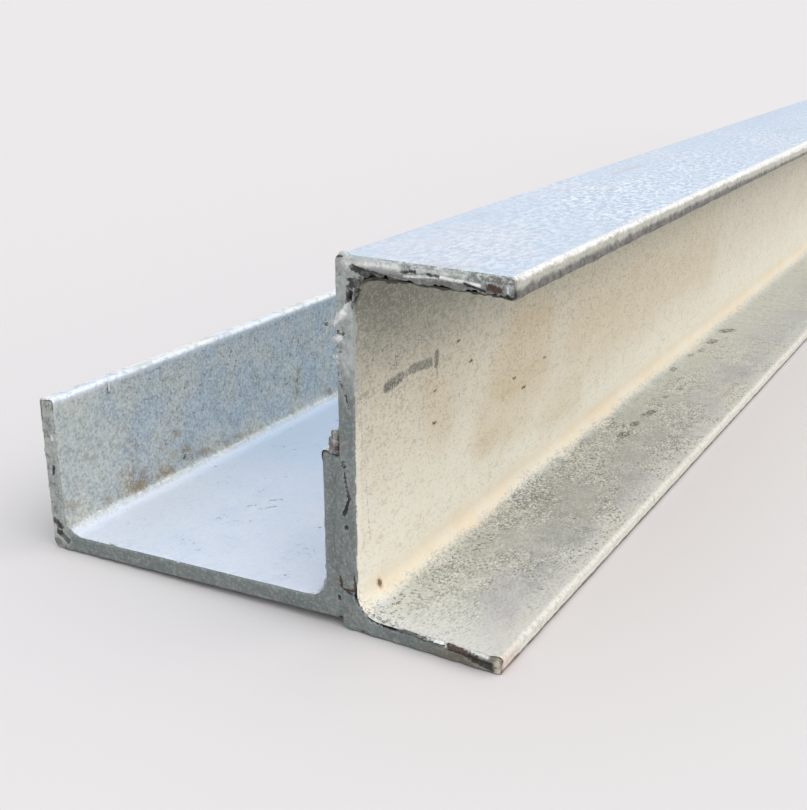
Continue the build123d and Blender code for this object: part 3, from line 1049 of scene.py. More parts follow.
# Bright marks: painted highlights where the near end's beads, runs, horns and lips catch the light
END_HIGHLIGHTS = (
    (31, 98.4, 34, 97.9, 2.3, 0.55), (32.2, 98.2, 33, 97.9, 1.2, 0.6), (34, 98.6, 45, 98.7, 1.1, 0.6),
    (49, 98.8, 62, 99, 0.8, 0.5), (46.4, 97, 56, 98, 0.35, 0.8), (56, 98, 65.3, 97.2, 0.4, 0.9),
    (31.9, 92.5, 30.4, 87, 1.5, 0.45), (31.6, 90, 30, 86.2, 0.8, 0.6), (30, 86.2, 26.6, 83.4, 1, 0.95),
    (28.6, 79.8, 26.6, 79.6, 0.75, 0.8), (31.2, 79.4, 31.4, 74, 1.1, 0.4), (28, 75, 27, 75.2, 0.6, 0.8),
    (29.8, 73.6, 30.6, 71, 1, 0.45), (72, 97.6, 72, 96.4, 0.4, 0.6), (44, 5.3, 51, 4.8, 0.45, 0.7),
    (51, 4.8, 57, 4.5, 0.55, 0.9), (57.7, 4.4, 57.9, 3.7, 0.4, 1), (59.5, 5, 70, 4.4, 0.5, 0.6),
    (-70, 35.6, -69.8, 34.6, 0.6, 0.7),
)


def zinc(t, place, patch_scale, grain_scale, drawn=None):
    """Clouds and grains of zinc, the grains drawn out where drawn gives the stretch."""
    clouds = t.group("Zinc clouds", Vector=place, Scale=patch_scale)
    if drawn:
        place = t.stretch(place, drawn)
    return clouds, t.group("Grain", Vector=place, Scale=grain_scale)


def zinc_skin(t, base, clouds, grain, roughness, relief, metal):
    """What finish needs: colour, roughness between two levels by the clouds' flecks, height from
    clouds and grain, each with its share in relief, and the metal's share."""
    rough = t.fit(clouds["Flecks"], 0, 1, *roughness)
    height = t.plus(t.times(clouds["Height"], relief[0]), t.times(grain["Height"], relief[1]))
    return base, rough, height, metal


def paint_outer(t, c):
    """Outer faces: weathered zinc; on the upright's top flange a painted sky reflection, painted
    highlights and shade on its ripples, and a painted highlight on its toe.
    """
    place, x, y, z = t.place()
    clouds, grain = zinc(t, place, 70, 1000)
    frayed = t.group("Fray", 0, Vector=place, Scale=900, Amount=2.4 * MM)
    slow = t.noise(place, 24, 3, 0.6)
    base = t.coats(c.outside, c.outside_light, clouds["Patches"])
    base.lay(c.dark_grain_and_shadow, grain["Dark"], 0.3)

    # Top face: blue-white zinc that is partly a painted sky reflection, fine ripples at a slant painted as
    # highlights and shade, strongest past the near end, and faint brown stains
    ripple = t.noise(t.stretch(place, (1, 0.5, 1), (0, 0, radians(25))), 620, 3, 0.75, 0.4)
    lively = t.times(
        t.along(y, 40, 110, 0.5, 1.0),
        t.along(y, 150, 260, 1.0, 0.6),
        t.span(x, 36, 50, 0.5, 1.0), t.fit(slow, 0.35, 0.6, 0.6, 1.0),
    )
    # Painted sky reflection over the zinc's own colour and pink clouds
    sky = t.coats(c.top, c.top_warm, t.fit(slow, 0.5, 0.62), 0.6)
    sky.lay(c.top_shade, t.along(y, 50, 400), 0.36)
    # Painted highlights and painted shade on the ripples
    sky.lay(c.top_highlight, t.fit(ripple, 0.51, 0.57), lively)
    sky.lay(c.top_shade, t.fit(ripple, 0.48, 0.42), lively, 0.95)
    stains = t.noise(t.stretch(place, (1, 0.4, 1)), 55, 4, 0.65)
    sky.lay(c.brown, t.fit(stains, 0.60, 0.74), 0.22)
    sky.lay(c.brown, strokes(t, frayed, TOP_MARKS)[0], 0.6)
    high = t.span(z, 98, 99)
    base.lay(sky, t.attribute("outside_second"), high)
    # Painted highlight on the top flange's toe
    base.lay(c.zinc_highlight, t.attribute("toe"), high)
    return zinc_skin(t, base, clouds, grain, (0.42, 0.6), (0.25, 0.16), 0.2)


# Where a paint has several parts, g holds what they share: the place, clouds, grain and noises


def cream_web(t, c, g):
    """Inner web: cream film with painted light low down and painted shade towards the top flange, with
    clouds, crooked lines and pits.
    """
    place, z, clouds, grain, frayed = g.place, g.z, g.clouds, g.grain, g.frayed
    near = t.along(g.y, 90, 10)
    # Painted light: brighter low on the web, where the top flange shades it least
    cream = t.coats(c.cream_light, c.cream, t.span(t.moved(z, g.slow, 12), 20, 68))
    cream.lay(c.cream_light, clouds["Patches"], 0.20)
    warm = t.patchy(t.stretch(place, (1, 0.3, 1)), 45, 4, 0.7, 0.36, 0.60, 0.5, 1.0)
    cream.lay(c.tan, strokes(t, place, WEB_CLOUDS)[1], warm, 0.70)
    cream.lay(c.tan, t.patchy(place, 150, 4, 0.75, 0.54, 0.68), 0.26)
    # Painted shade towards the top flange, which shades the web's upper part
    dull = t.span(t.moved(z, t.less(clouds["Height"], 0.5), 22), 54, 91)
    cream.lay(c.cream_shade_and_grain, dull, 0.90)
    upwards = t.stretch(place, (1, 1, 0.6))
    worms = t.group("Worms", Vector=upwards, Scale=620)
    crooked = t.times(t.span(t.moved(z, g.jagged, 60), 34, 84, 0.06, 1.0), t.plus(near, 0.10))
    # Painted highlight beside the crooked lines, then the dark lines
    cream.lay(c.cream, worms["Light"], crooked, 0.5)
    cream.lay(c.smudge, worms["Mask"], crooked, 0.95)
    fine_lines = t.group("Streaks", 0, Vector=place, Stretch=(1, 520, 60), From=0.52)
    cream.lay(c.cream, fine_lines, 0.12)
    coarse = t.span(z, 20, 80, 0.20, 0.42)
    cream.lay(c.cream_shade_and_grain, grain["Dark"], coarse)
    cream.lay(c.cream, grain["Light"], coarse, 0.6)
    pits = t.group("Pits", Vector=place, Scale=120, Share=0.22, Size=0.05)
    cream.lay(c.tan, pits["Halo"], 0.5)
    cream.lay(c.rust, pits["Mask"], 0.85)
    dots, round_dots = strokes(t, frayed, WEB_DOTS)
    cream.lay(c.tan, round_dots, 0.6)
    cream.lay(c.black_scale_and_shadow, dots, 0.9)
    dotted = t.patchy(place, 1300, 2, 0.8, 0.42, 0.52, 0.45, 1.0)
    cream.lay(c.smudge, strokes(t, frayed, WEB_SMUDGES)[0], dotted)
    cream.lay(c.black_scale_and_shadow, strokes(t, frayed, WEB_LINES)[0], 0.85)
    return cream


def rolled_edge(t, c, g, cream):
    """Near end of the inner web: whitish low down, and grey-green where the zinc rolls over from
    the sawn end. Returns the ragged distance along the post."""
    jagged = g.jagged
    edge = t.moved(g.y, jagged, 5)
    rim = t.along(edge, 1.8, 0.4)
    high_up = t.span(t.moved(g.z, jagged, 20), 50, 62)
    cream.lay(c.cream_light, rim, t.less(1.0, high_up), 0.35)
    cream.lay(c.cut_pale, t.along(edge, -0.2, -1.4), high_up, 0.8)
    # Dark hatching high in the root by the end: torn scale, partly painted shade under the top flange
    hatched = t.times(t.along(edge, 2, -0.8), t.span(g.z, 85, 90))
    cream.lay(c.black_scale_and_shadow, hatched, t.fit(jagged, -0.06, 0.06, 0.3, 0.9))
    return edge


def speckled_flange(t, c, g):
    """Lower flange: grey film full of dark and light grains, paler by the end and the toe."""
    place, x, y, clouds, frayed = g.place, g.x, g.y, g.clouds, g.frayed
    drawn = t.stretch(place, ALONG_POST)
    speck = t.group("Grain", Vector=drawn, Scale=1650)
    patches = t.patchy(t.stretch(place, (1, 0.7, 1)), 55, 4, 0.65, 0.42, 0.58)
    worn = t.times(
        t.along(y, 25, 75), t.along(y, 260, 120),
        t.span(x, 68, 62), t.fit(g.slow, 0.3, 0.5, 0.5, 1.0),
    )
    film = t.coats(c.speckle, c.speckle_cool, t.span(x, 46, 58), t.fit(patches, 0, 1, 0.3, 1.0))
    film.lay(c.speckle_worn, worn)
    faded = t.moved(y, clouds["Height"], 14)
    pale = t.most(
        t.along(faded, 34, 6), t.span(x, 64, 72),
        t.times(t.along(y, 180, 380), 0.25),
    )
    film.lay(c.speckle_pale, pale, 0.8)
    film.lay(c.speckle_pale, clouds["Patches"], 0.25)
    far_off = t.along(y, 180, 400, 1.0, 0.4)
    across = t.group("Streaks", 0, Vector=place, Stretch=(60, 340, 1), From=0.52)
    film.lay(c.speckle_worn, across, t.along(y, 60, 140), 0.5)
    by_end = t.along(faded, 10, 50, 0.4, 1.0)
    sparse = t.fit(patches, 1, 0, 0.35, 1.0)
    film.lay(c.dark_grain_and_shadow, speck["Dark"], 0.85, t.times(far_off, by_end, sparse))
    film.lay(c.speckle_light, speck["Light"], 0.85, t.times(far_off, sparse))
    by_root = t.times(t.span(x, 49, 40), t.along(y, 170, 60))
    peppered = t.patchy(place, 700, 3, 0.8, 0.54, 0.60)
    film.lay(c.smudge, by_root, peppered, 0.8)
    clumps = t.patchy(place, 620, 3, 0.8, 0.45, 0.50)
    film.lay(c.black_scale_and_shadow, strokes(t, frayed, FLANGE_SPECKS)[0], clumps, 0.8)
    g.drawn, g.speck = drawn, speck
    return film


def peach_root(t, c, g, base, through):
    """Peach band along the upper part of the lower root, with a rusty spot near the end."""
    level = t.moved(g.z, t.less(t.noise(g.drawn, 330, 5, 0.85), 0.5), 5)
    level = t.moved(level, t.less(g.slow, 0.5), 5)
    band = t.times(t.span(level, 5, 7.8), t.span(level, 16, 9.5))
    inwards = t.fit(through, 0.5, 0.9)
    base.lay(c.cream_light, band, inwards, 0.55)
    faint = t.patchy(g.place, 60, 4, 0.7, 0.40, 0.60, 0.45, 1.0)
    base.lay(c.peach, band, inwards, t.times(faint, t.along(g.y, 0, 14, 0.4, 0.95)))
    base.lay(c.speckle_worn, band, t.times(inwards, t.span(level, 8.2, 6.4)), g.speck["Dark"])
    spot, round_spot = strokes(t, g.frayed, ROOT_SPOT)
    base.lay(c.rust_bright, round_spot, 0.6)
    base.lay(c.black_scale_and_shadow, spot, 0.8)


def upright_toes(t, c, g):
    """Toes: a painted highlight above and painted shade below, as on a rounded edge lit from above; on the
    lower toe the highlight reaches nearly down to the floor.
    """
    y, z, clouds, jagged = g.y, g.z, g.clouds, g.jagged
    faraway = t.along(y, 100, 300, 0, 1.1 * MM)
    wander = t.plus(t.plus(z, faraway), t.times(jagged, 3.0 * MM))
    low_wander = t.moved(z, jagged, 1.4)
    high = t.span(z, 49, 51)
    bright = t.between(high, t.span(low_wander, 1.2, 2), t.span(wander, 98.5, 99.6))
    bright = t.times(bright, t.patchy(g.place, 600, 4, 0.8, 0.38, 0.5, 0.7, 1.0))
    # Painted shade on the toe's lower half
    dull_zinc = t.coats(c.toe_shade, c.black_scale_and_shadow, clouds["Flecks"], 0.6)
    dull_zinc.lay(c.rust, t.less(1.0, high), 0.6)
    dull_zinc.lay(c.trough_beige, t.span(wander, 96.7, 98), high, 0.7)
    # Painted highlight on the toe's upper half, over cream on the lower toe
    edge_zinc = t.coats(dull_zinc, t.over(c.zinc_highlight, c.cream, t.less(1.0, high), 0.5), bright)
    edge_zinc.lay(c.dark_grain_and_shadow, g.grain["Dark"], t.between(high, 0.10, 0.30))
    warm_end = t.times(t.along(y, 14, 0), t.fit(clouds["Height"], 0.42, 0.56))
    edge_zinc.lay(c.rust_bright, warm_end, t.between(high, 0.35, 0.0))
    return edge_zinc


def paint_upright(t, c):
    """Upright channel inside: cream web, peach root, speckled lower flange, and the toes."""
    place, x, y, z = t.place()
    web, under = t.attribute("inside_web"), t.attribute("inside_second")
    toe, through = t.attribute("toe"), t.attribute("through")
    clouds, grain = zinc(t, place, 70, 1700, ALONG_POST)
    g = SimpleNamespace(
        place=place, x=x, y=y, z=z, clouds=clouds, grain=grain,
        frayed=t.group("Fray", 0, Vector=place, Scale=900, Amount=2.4 * MM),
        slow=t.noise(place, 24, 3, 0.6), jagged=t.less(t.noise(place, 260, 4, 0.75), 0.5),
    )
    cream = cream_web(t, c, g)
    edge = rolled_edge(t, c, g, cream)
    base = t.coats(speckled_flange(t, c, g), cream, web)
    peach_root(t, c, g, base, through)

    # Painted shade under the top flange: dark cream flecked with stain, nearly black at the near end
    base.lay(t.over(c.cream_shade_and_grain, c.stain, clouds["Flecks"]), under)
    base.lay(c.black_scale_and_shadow, t.along(edge, 4, 1), under, 0.8)
    base.lay(upright_toes(t, c, g), toe)
    return zinc_skin(t, base, clouds, grain, (0.42, 0.6), (0.25, 0.16), 0.2)


def trough_floor(t, c, g):
    """Trough floor: blue-white, partly a painted sky reflection, with painted shade away from the end,
    dark flecks and a little rust.
    """
    # Painted shade: darker away from the near end
    trough = t.coats(c.trough, c.trough_shade_and_mottle, t.along(g.y, 42, 95), 0.7)
    trough.lay(c.trough_wall, t.along(g.y, 110, 380), 0.35)
    trough.lay(c.trough_shade_and_mottle, t.fit(g.slow, 0.45, 0.62), 0.22)
    trough.lay(c.trough_shade_and_mottle, g.grain["Dark"], 0.30)
    g.worms = t.group("Worms", Vector=g.place, Scale=420)
    trough.lay(c.dark_grain_and_shadow, g.worms["Mask"], t.patchy(g.place, 60, 4, 0.7, 0.54, 0.64), 0.6)
    pits = t.group("Pits", Vector=g.place, Scale=190, Share=0.22, Size=0.07)
    trough.lay(c.dark_grain_and_shadow, pits["Mask"], 0.6)
    trough.lay(c.rust_bright, strokes(t, g.frayed, FLOOR_RUST)[0], 0.6)
    return trough


def outer_wall(t, c, g):
    """Outer flange's inside: blue-grey and beige clouds, crooked lines, brown stains at its foot."""
    side = t.coats(c.trough_wall, c.trough_beige, g.clouds["Patches"], 0.6)
    by_end = t.along(t.moved(g.y, g.clouds["Height"], 26), 42, 16)
    side.lay(c.trough_beige, by_end, 0.45)
    middle = t.times(t.span(g.z, 10, 22), t.along(g.y, 14, 36, 0.2, 1.0))
    # Painted highlight beside the crooked lines, then the dark lines
    side.lay(c.speckle_light, g.worms["Light"], middle, 0.45)
    side.lay(c.dark_grain_and_shadow, g.worms["Mask"], middle, 0.95)
    side.lay(c.dark_grain_and_shadow, g.grain["Dark"], 0.36)
    side.lay(c.speckle_light, g.grain["Light"], 0.36)
    g.flecked = t.noise(g.place, 420, 4, 0.8)
    broken = t.fit(g.flecked, 0.42, 0.53, 0.15, 1.0)
    stains, round_stains = strokes(t, g.frayed, WALL_STAINS)
    cloudy = t.patchy(g.place, 130, 5, 0.8, 0.40, 0.58, 0.15, 1.0)
    side.lay(c.stain, round_stains, broken, cloudy, 0.7)
    side.lay(c.stain, stains, broken, cloudy, 0.5)
    scattered = t.times(t.patchy(g.place, 90, 5, 0.75, 0.54, 0.66), t.span(g.z, 22, 8))
    side.lay(c.stain, scattered, 0.6)
    return side


def paint_flat(t, c):
    """Flat channel: blue-white trough floor, mottled blue-grey wall with brown stains at its foot."""
    place, x, y, z = t.place()
    web, seam = t.attribute("inside_web"), t.attribute("inside_first")
    wall, toe = t.attribute("inside_second"), t.attribute("toe")
    clouds, grain = zinc(t, place, 70, 1000)
    frayed = t.group("Fray", 0, Vector=place, Scale=700, Amount=4.5 * MM)
    g = SimpleNamespace(
        place=place, y=y, z=z, clouds=clouds, grain=grain, frayed=frayed, slow=t.noise(place, 30, 3, 0.6),
    )
    trough = trough_floor(t, c, g)
    base = t.coats(trough, outer_wall(t, c, g), wall)

    # Painted highlight along the rounded root between them, broken into sparkles
    wide = t.moved(z, t.less(g.flecked, 0.5), 3.5)
    out = t.moved(x, t.less(g.flecked, 0.5), 5)
    gleam = t.times(t.span(wide, 7.8, 7), t.span(out, -65.4, -66.6), t.most(web, wall))
    sparkle = t.patchy(place, 1500, 2, 0.8, 0.47, 0.56)
    base.lay(t.over(c.zinc_highlight, c.trough_wall, sparkle, 0.8), gleam, 0.95)
    base.lay(t.over(c.trough_wall, c.cut_light, clouds["Flecks"]), seam)
    base.lay(c.black_scale_and_shadow, strokes(t, frayed, WALL_PITS)[0], 0.85)
    base.lay(c.cream_light, strokes(t, place, WALL_CHIP)[0], 0.9)

    # Toes: a nearly white painted highlight, with grey patches
    edge_zinc = t.coats(c.zinc_highlight, c.trough, clouds["Patches"])
    edge_zinc.lay(c.trough_wall, t.patchy(place, 330, 4, 0.8, 0.49, 0.57), 0.65)
    base.lay(edge_zinc, toe)
    return zinc_skin(t, base, clouds, grain, (0.40, 0.58), (0.25, 0.14), 0.25)


def cut_faces(t, c, g, base):
    """Sawn faces: pale towards the top of the web, mottled dark along the top flange with a painted
    highlight on its upper bead and painted shadow below it, and olive on the lower one."""
    x, z, blotch = g.x, g.z, g.blotch
    crown = t.times(t.span(z, 62, 78), g.near)
    base.lay(c.cut_pale, crown, t.fit(g.clouds["Height"], 0.38, 0.56, 0.5, 1.0))
    flange_end = t.times(t.span(x, 35, 42), t.span(z, 90, 92), g.near)
    base.lay(c.cut, flange_end, t.span(z, 98.2, 96.4), 0.8)
    # Painted shadow under the bead of zinc along the top flange's end
    base.lay(c.dark_grain_and_shadow, flange_end, t.span(z, 97.4, 96.6), 0.4)
    base.lay(c.dark_grain_and_shadow, flange_end, t.fit(blotch, 0.49, 0.55), 0.75)
    fleck = t.noise(g.place, 850, 4, 0.8)
    base.lay(c.dark_grain_and_shadow, flange_end, t.fit(fleck, 0.50, 0.56), 0.6)
    # Painted highlight on the bead's rounded top
    base.lay(c.zinc_highlight, flange_end, t.span(z, 96.8, 98.6), t.fit(fleck, 0.49, 0.43), 0.6)
    base.lay(c.dark_grain_and_shadow, g.grain["Dark"], 0.40)
    base.lay(c.speckle_light, g.grain["Light"], 0.14)
    low_flange = t.times(t.span(x, 50, 60), t.span(z, 8, 6))
    base.lay(c.cut_brown, low_flange, t.fit(blotch, 0.40, 0.52, 0.4, 0.9))
    pits = t.group("Pits", Vector=g.place, Scale=210, Share=0.20, Size=0.08)
    base.lay(c.black_scale_and_shadow, pits["Mask"], 0.6)


def cut_marks(t, c, g, base):
    """Painted highlights on the near end's runs and beads, rust, and black cracks that are partly painted
    shadow, each with a soft rim and frayed.
    """
    blotch, fray = g.blotch, g.fray
    dark, rusty, bright = (t.attribute(name) for name in ("dark", "rusty", "bright"))
    # A pale rim round the dark marks: painted highlight on the edges of pits and cracks
    base.lay(c.cut_pale, t.fit(t.plus(dark, fray), 0.10, 0.35), 0.35)
    # Painted highlights on the end's beads, runs, horns and lips
    base.lay(c.cut_pale, t.fit(bright, 0.05, 0.55), 0.7)
    chipped = t.fit(blotch, 0.56, 0.50, 0.45, 1.0)
    base.lay(c.zinc_highlight, t.fit(t.plus(bright, t.times(fray, 0.5)), 0.30, 0.65), chipped)
    rust = t.over(c.rust, c.black_scale_and_shadow, g.clouds["Flecks"], 0.55)
    base.lay(rust, t.fit(t.plus(rusty, fray), 0.36, 0.52))
    # Black in cracks and pits: dark scale, partly painted shadow
    base.lay(c.black_scale_and_shadow, t.fit(t.plus(dark, fray), 0.36, 0.52), t.fit(blotch, 0.42, 0.50, 0.65, 0.95))


def torn_scale(t, c, g, base):
    """Dark scale where the skin is torn back, with the shadow behind its raised edge painted in, only
    along the upright's flanges and roots.
    """
    x, z, blotch = g.x, g.z, g.blotch
    edge = t.plus(g.through, t.times(t.less(blotch, 0.5), 0.25))
    flanges = t.most(t.span(z, 16, 11), t.span(z, 87, 91))
    torn = t.times(flanges, t.span(x, 30, 31), t.span(x, 71, 69))
    corner = t.times(t.span(x, 70.6, 72.4), t.span(z, 8, 6))
    base.lay(t.over(c.peach, c.trough_beige, blotch), corner, t.fit(blotch, 0.56, 0.46, 0.2, 0.8))
    base.lay(t.over(c.black_scale_and_shadow, c.rust, g.clouds["Flecks"], 0.6), t.fit(edge, 0.84, 0.93), torn)


def paint_cut(t, c):
    """Sawn ends: grey-green zinc, pale and bright in places, with pits, rust and dark scale."""
    place, x, y, z = t.place()
    through = t.attribute("through")
    clouds, grain = zinc(t, place, 120, 1100)
    near = t.span(y, 1, 0)
    blotch = t.noise(place, 330, 5, 0.8)
    g = SimpleNamespace(
        place=place, x=x, z=z, through=through, clouds=clouds, grain=grain, near=near, blotch=blotch,
        fray=t.times(t.less(t.noise(place, 1100, 3, 0.7), 0.5), 1.1),
    )
    base = t.coats(c.cut, c.cut_light, clouds["Patches"], 0.30)
    base.lay(c.cut_pale, t.fit(blotch, 0.52, 0.62), 0.30)
    base.lay(c.cut_brown, t.fit(blotch, 0.46, 0.38), 0.40)
    left = t.span(x, -64, -69)
    base.lay(t.over(c.cut_pale, c.trough_beige, clouds["Patches"], 0.5), left, 0.85)
    base.lay(c.cut, left, 0.12)
    base.lay(c.dark_grain_and_shadow, t.fit(blotch, 0.53, 0.59), left, 0.75)
    cut_faces(t, c, g, base)
    cut_marks(t, c, g, base)
    torn_scale(t, c, g, base)
    return zinc_skin(t, base, clouds, grain, (0.45, 0.65), (0.3, 0.14), 0.2)


def paint_weld(t, c):
    """Weld metal under zinc: light crests painted as highlights, brown and black in its pits."""
    place = t.place()[0]
    clouds, grain = zinc(t, place, 300, 900)
    # Light flecks painted as highlights
    base = t.coats(c.weld, c.zinc_highlight, clouds["Flecks"], 0.55)
    base.lay(c.rust, clouds["Patches"], 0.65)
    worms = t.group("Worms", Vector=place, Scale=700)
    base.lay(c.black_scale_and_shadow, worms["Mask"], 0.9)
    base.lay(c.black_scale_and_shadow, grain["Dark"], 0.55)
    return zinc_skin(t, base, clouds, grain, (0.4, 0.7), (0.5, 0.25), 0.25)


def paint_drip(t, c):
    """Zinc drips and thick edges: pale metal with painted highlights, dark grains, and painted shade at
    their tips.
    """
    place, x = t.place()[:2]
    clouds, grain = zinc(t, place, 300, 900)
    base = t.coats(c.cut_pale, c.zinc_highlight, clouds["Patches"], 0.7)
    base.lay(c.cut, grain["Dark"], 0.45)
    # Painted shade at the horns' tips
    base.lay(c.black_scale_and_shadow, t.span(x, 25.9, 24.9), 0.85)
    return zinc_skin(t, base, clouds, grain, (0.3, 0.5), (0.3, 0.1), 0.35)


# Operators


class PostOperator(bpy.types.Operator):
    """Shared by the post's operators."""

    bl_options = {"REGISTER"}

    def stands_for(self, piece, slot, *nodes):
        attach(piece, "root")
        if nodes:
            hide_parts(*nodes)


def channel_lots():
    """What sets the two channels apart: name, place, slants of the near cut, how torn their zinc
    is, relief of the near end, paint and seed."""
    s = sizes()
    upright = SimpleNamespace(
        name="upright", place=on_upright, slants=(s.upright_slant_out, s.upright_slant_up),
        torn=1.0, relief=UPRIGHT_RELIEF, paint=paint_upright, seed=11,
    )
    flat = SimpleNamespace(
        name="flat", place=on_flat, slants=(s.flat_slant_up, s.flat_slant_out),
        torn=0.2, relief=FLAT_RELIEF, paint=paint_flat, seed=23,
    )
    return upright, flat


class POST_OT_channels(PostOperator):
    """Makes the two rolled channels with their zinc"""

    bl_idname = "post.channels"
    bl_label = "Channels"

    def execute(self, context):
        s = sizes()
        cut, outer = finish("cut_end_zinc", paint_cut), finish("outer_zinc", paint_outer)
        no_triangles = np.zeros((0, 3), int)
        for lot in channel_lots():
            points, quads, attributes, slots = channel_surface(s, lot.place, lot.slants, lot.seed)
            skins = [finish(f"{lot.name}_channel_zinc", lot.paint), cut, outer]
            parts = [(points, quads, no_triangles)]
            piece = new_piece(f"{lot.name}_channel_zinc", parts, skins, attributes, slots)
            self.stands_for(piece, "galvanised_steel", f"{lot.name}_channel")
        return {"FINISHED"}


class POST_OT_end_skins(PostOperator):
    """Makes the zinc skin over the sawn ends, with torn inner edges, ridges and pits"""

    bl_idname = "post.end_skins"
    bl_label = "End skins"

    def execute(self, context):
        s = sizes()
        cut = finish("cut_end_zinc", paint_cut)
        for lot in channel_lots():
            for end, side, relief in (("near", -1, lot.relief), ("far", 1, ())):
                points, attributes = end_skin(
                    s, lot.place, lot.slants, relief, lot.torn, side, lot.seed + side,
                )
                piece = new_piece(f"{lot.name}_{end}_end_skin", [cushion(points)], [cut], attributes)
                self.stands_for(piece, "galvanised_steel")
        return {"FINISHED"}


class POST_OT_lips(PostOperator):
    """Makes the torn zinc lips along the inner faces' near edges"""

    bl_idname = "post.lips"
    bl_label = "Torn lips"

    def execute(self, context):
        s = sizes()
        for lot in channel_lots():
            skin = finish(f"{lot.name}_channel_zinc", lot.paint)
            points, attributes = torn_lip(s, lot.place, lot.slants, lot.torn, lot.seed)
            piece = new_piece(f"{lot.name}_near_lip", [cushion(points)], [skin], attributes)
            self.stands_for(piece, "galvanised_steel")
        return {"FINISHED"}


class POST_OT_drips(PostOperator):
    """Makes the horns of zinc on the upright web's near edge"""

    bl_idname = "post.drips"
    bl_label = "Drips"

    def execute(self, context):
        drip = finish("drip_zinc", paint_drip)
        parts = [horn(rows, 130 + number) for number, rows in enumerate(HORNS)]
        piece = new_piece("near_end_horns", parts, [drip])
        self.stands_for(piece, "galvanised_steel")
        return {"FINISHED"}


def bead_profile(low, high, count, taper):
    """Distances along a bead and its swell there, which falls to nothing over the taper."""
    t = np.linspace(0, 1, count)
    along = low + (high - low) * (1 - np.cos(np.pi * t)) / 2
    ends = np.clip(np.minimum(along - low, high - along) / taper, 0, 1)
    return along, np.sqrt(1 - (1 - ends) ** 2)


def rippled(y, low, height, wave):
    """Sine waves along a bead from its low end, around 1."""
    return 1 + height * np.sin(2 * np.pi * (y - low.y) / wave)


class POST_OT_toe_welds(PostOperator):
    """Makes the rippled stitch welds on the leaning flange's toe, the near one with a lump"""

    bl_idname = "post.toe_welds"
    bl_label = "Toe welds"

    def execute(self, context):
        s = sizes()
        skin = finish("weld_zinc", paint_weld)
        toe_z = on_flat(s.flange_width, 0)[1]
        for number, node in enumerate(TOE_WELDS):
            low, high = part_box(node)
            y, swell = bead_profile(low.y, high.y, 90, 3.5 * MM)
            x, z = low.x + 1.9 * MM, toe_z + 0.7 * MM
            deep = 1.8 * MM * swell * rippled(y, low, 0.07, 2.6 * MM)
            parts = [bead(y, x, z, 3.2 * MM * swell, deep, 40 + number, 28, turn=radians(42))]
            y, swell = bead_profile(low.y, high.y, 30, 2 * MM)
            x, z, deep = UPRIGHT_LOW.x - 0.75 * MM, (low.z + toe_z) / 2, (toe_z - low.z) / 2
            parts.append(bead(y, x, z, 1.1 * MM * swell, deep * swell, 60 + number, 16, 0.05))
            if number == 0:
                y, swell = bead_profile(low.y - 1.9 * MM, low.y + 6 * MM, 60, 3.0 * MM)
                x, z = LUMP_PLACE
                parts.append(bead(y, x, z, 2.0 * MM * swell, 2.9 * MM * swell, 75, 40, 0.2))
            piece = new_piece(f"{node}_bead", parts, [skin])
            self.stands_for(piece, "galvanised_weld", node)
        return {"FINISHED"}


class POST_OT_heel_welds(PostOperator):
    """Makes the stitch welds under the seam"""

    bl_idname = "post.heel_welds"
    bl_label = "Heel welds"

    def execute(self, context):
        skin = finish("weld_zinc", paint_weld)
        for number, node in enumerate(HEEL_WELDS):
            low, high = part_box(node)
            y, swell = bead_profile(low.y, high.y, 70, 3 * MM)
            x, z = (low.x + high.x) / 2, (low.z + high.z) / 2
            wide = (high.x - low.x) / 2 * swell
            deep = (high.z - low.z) / 2 * swell * rippled(y, low, 0.08, 2.4 * MM)
            weld = bead(y, x, z, wide, deep, 80 + number, 24, 0.06)
            piece = new_piece(f"{node}_bead", [weld], [skin])
            self.stands_for(piece, "galvanised_weld", node)
        return {"FINISHED"}


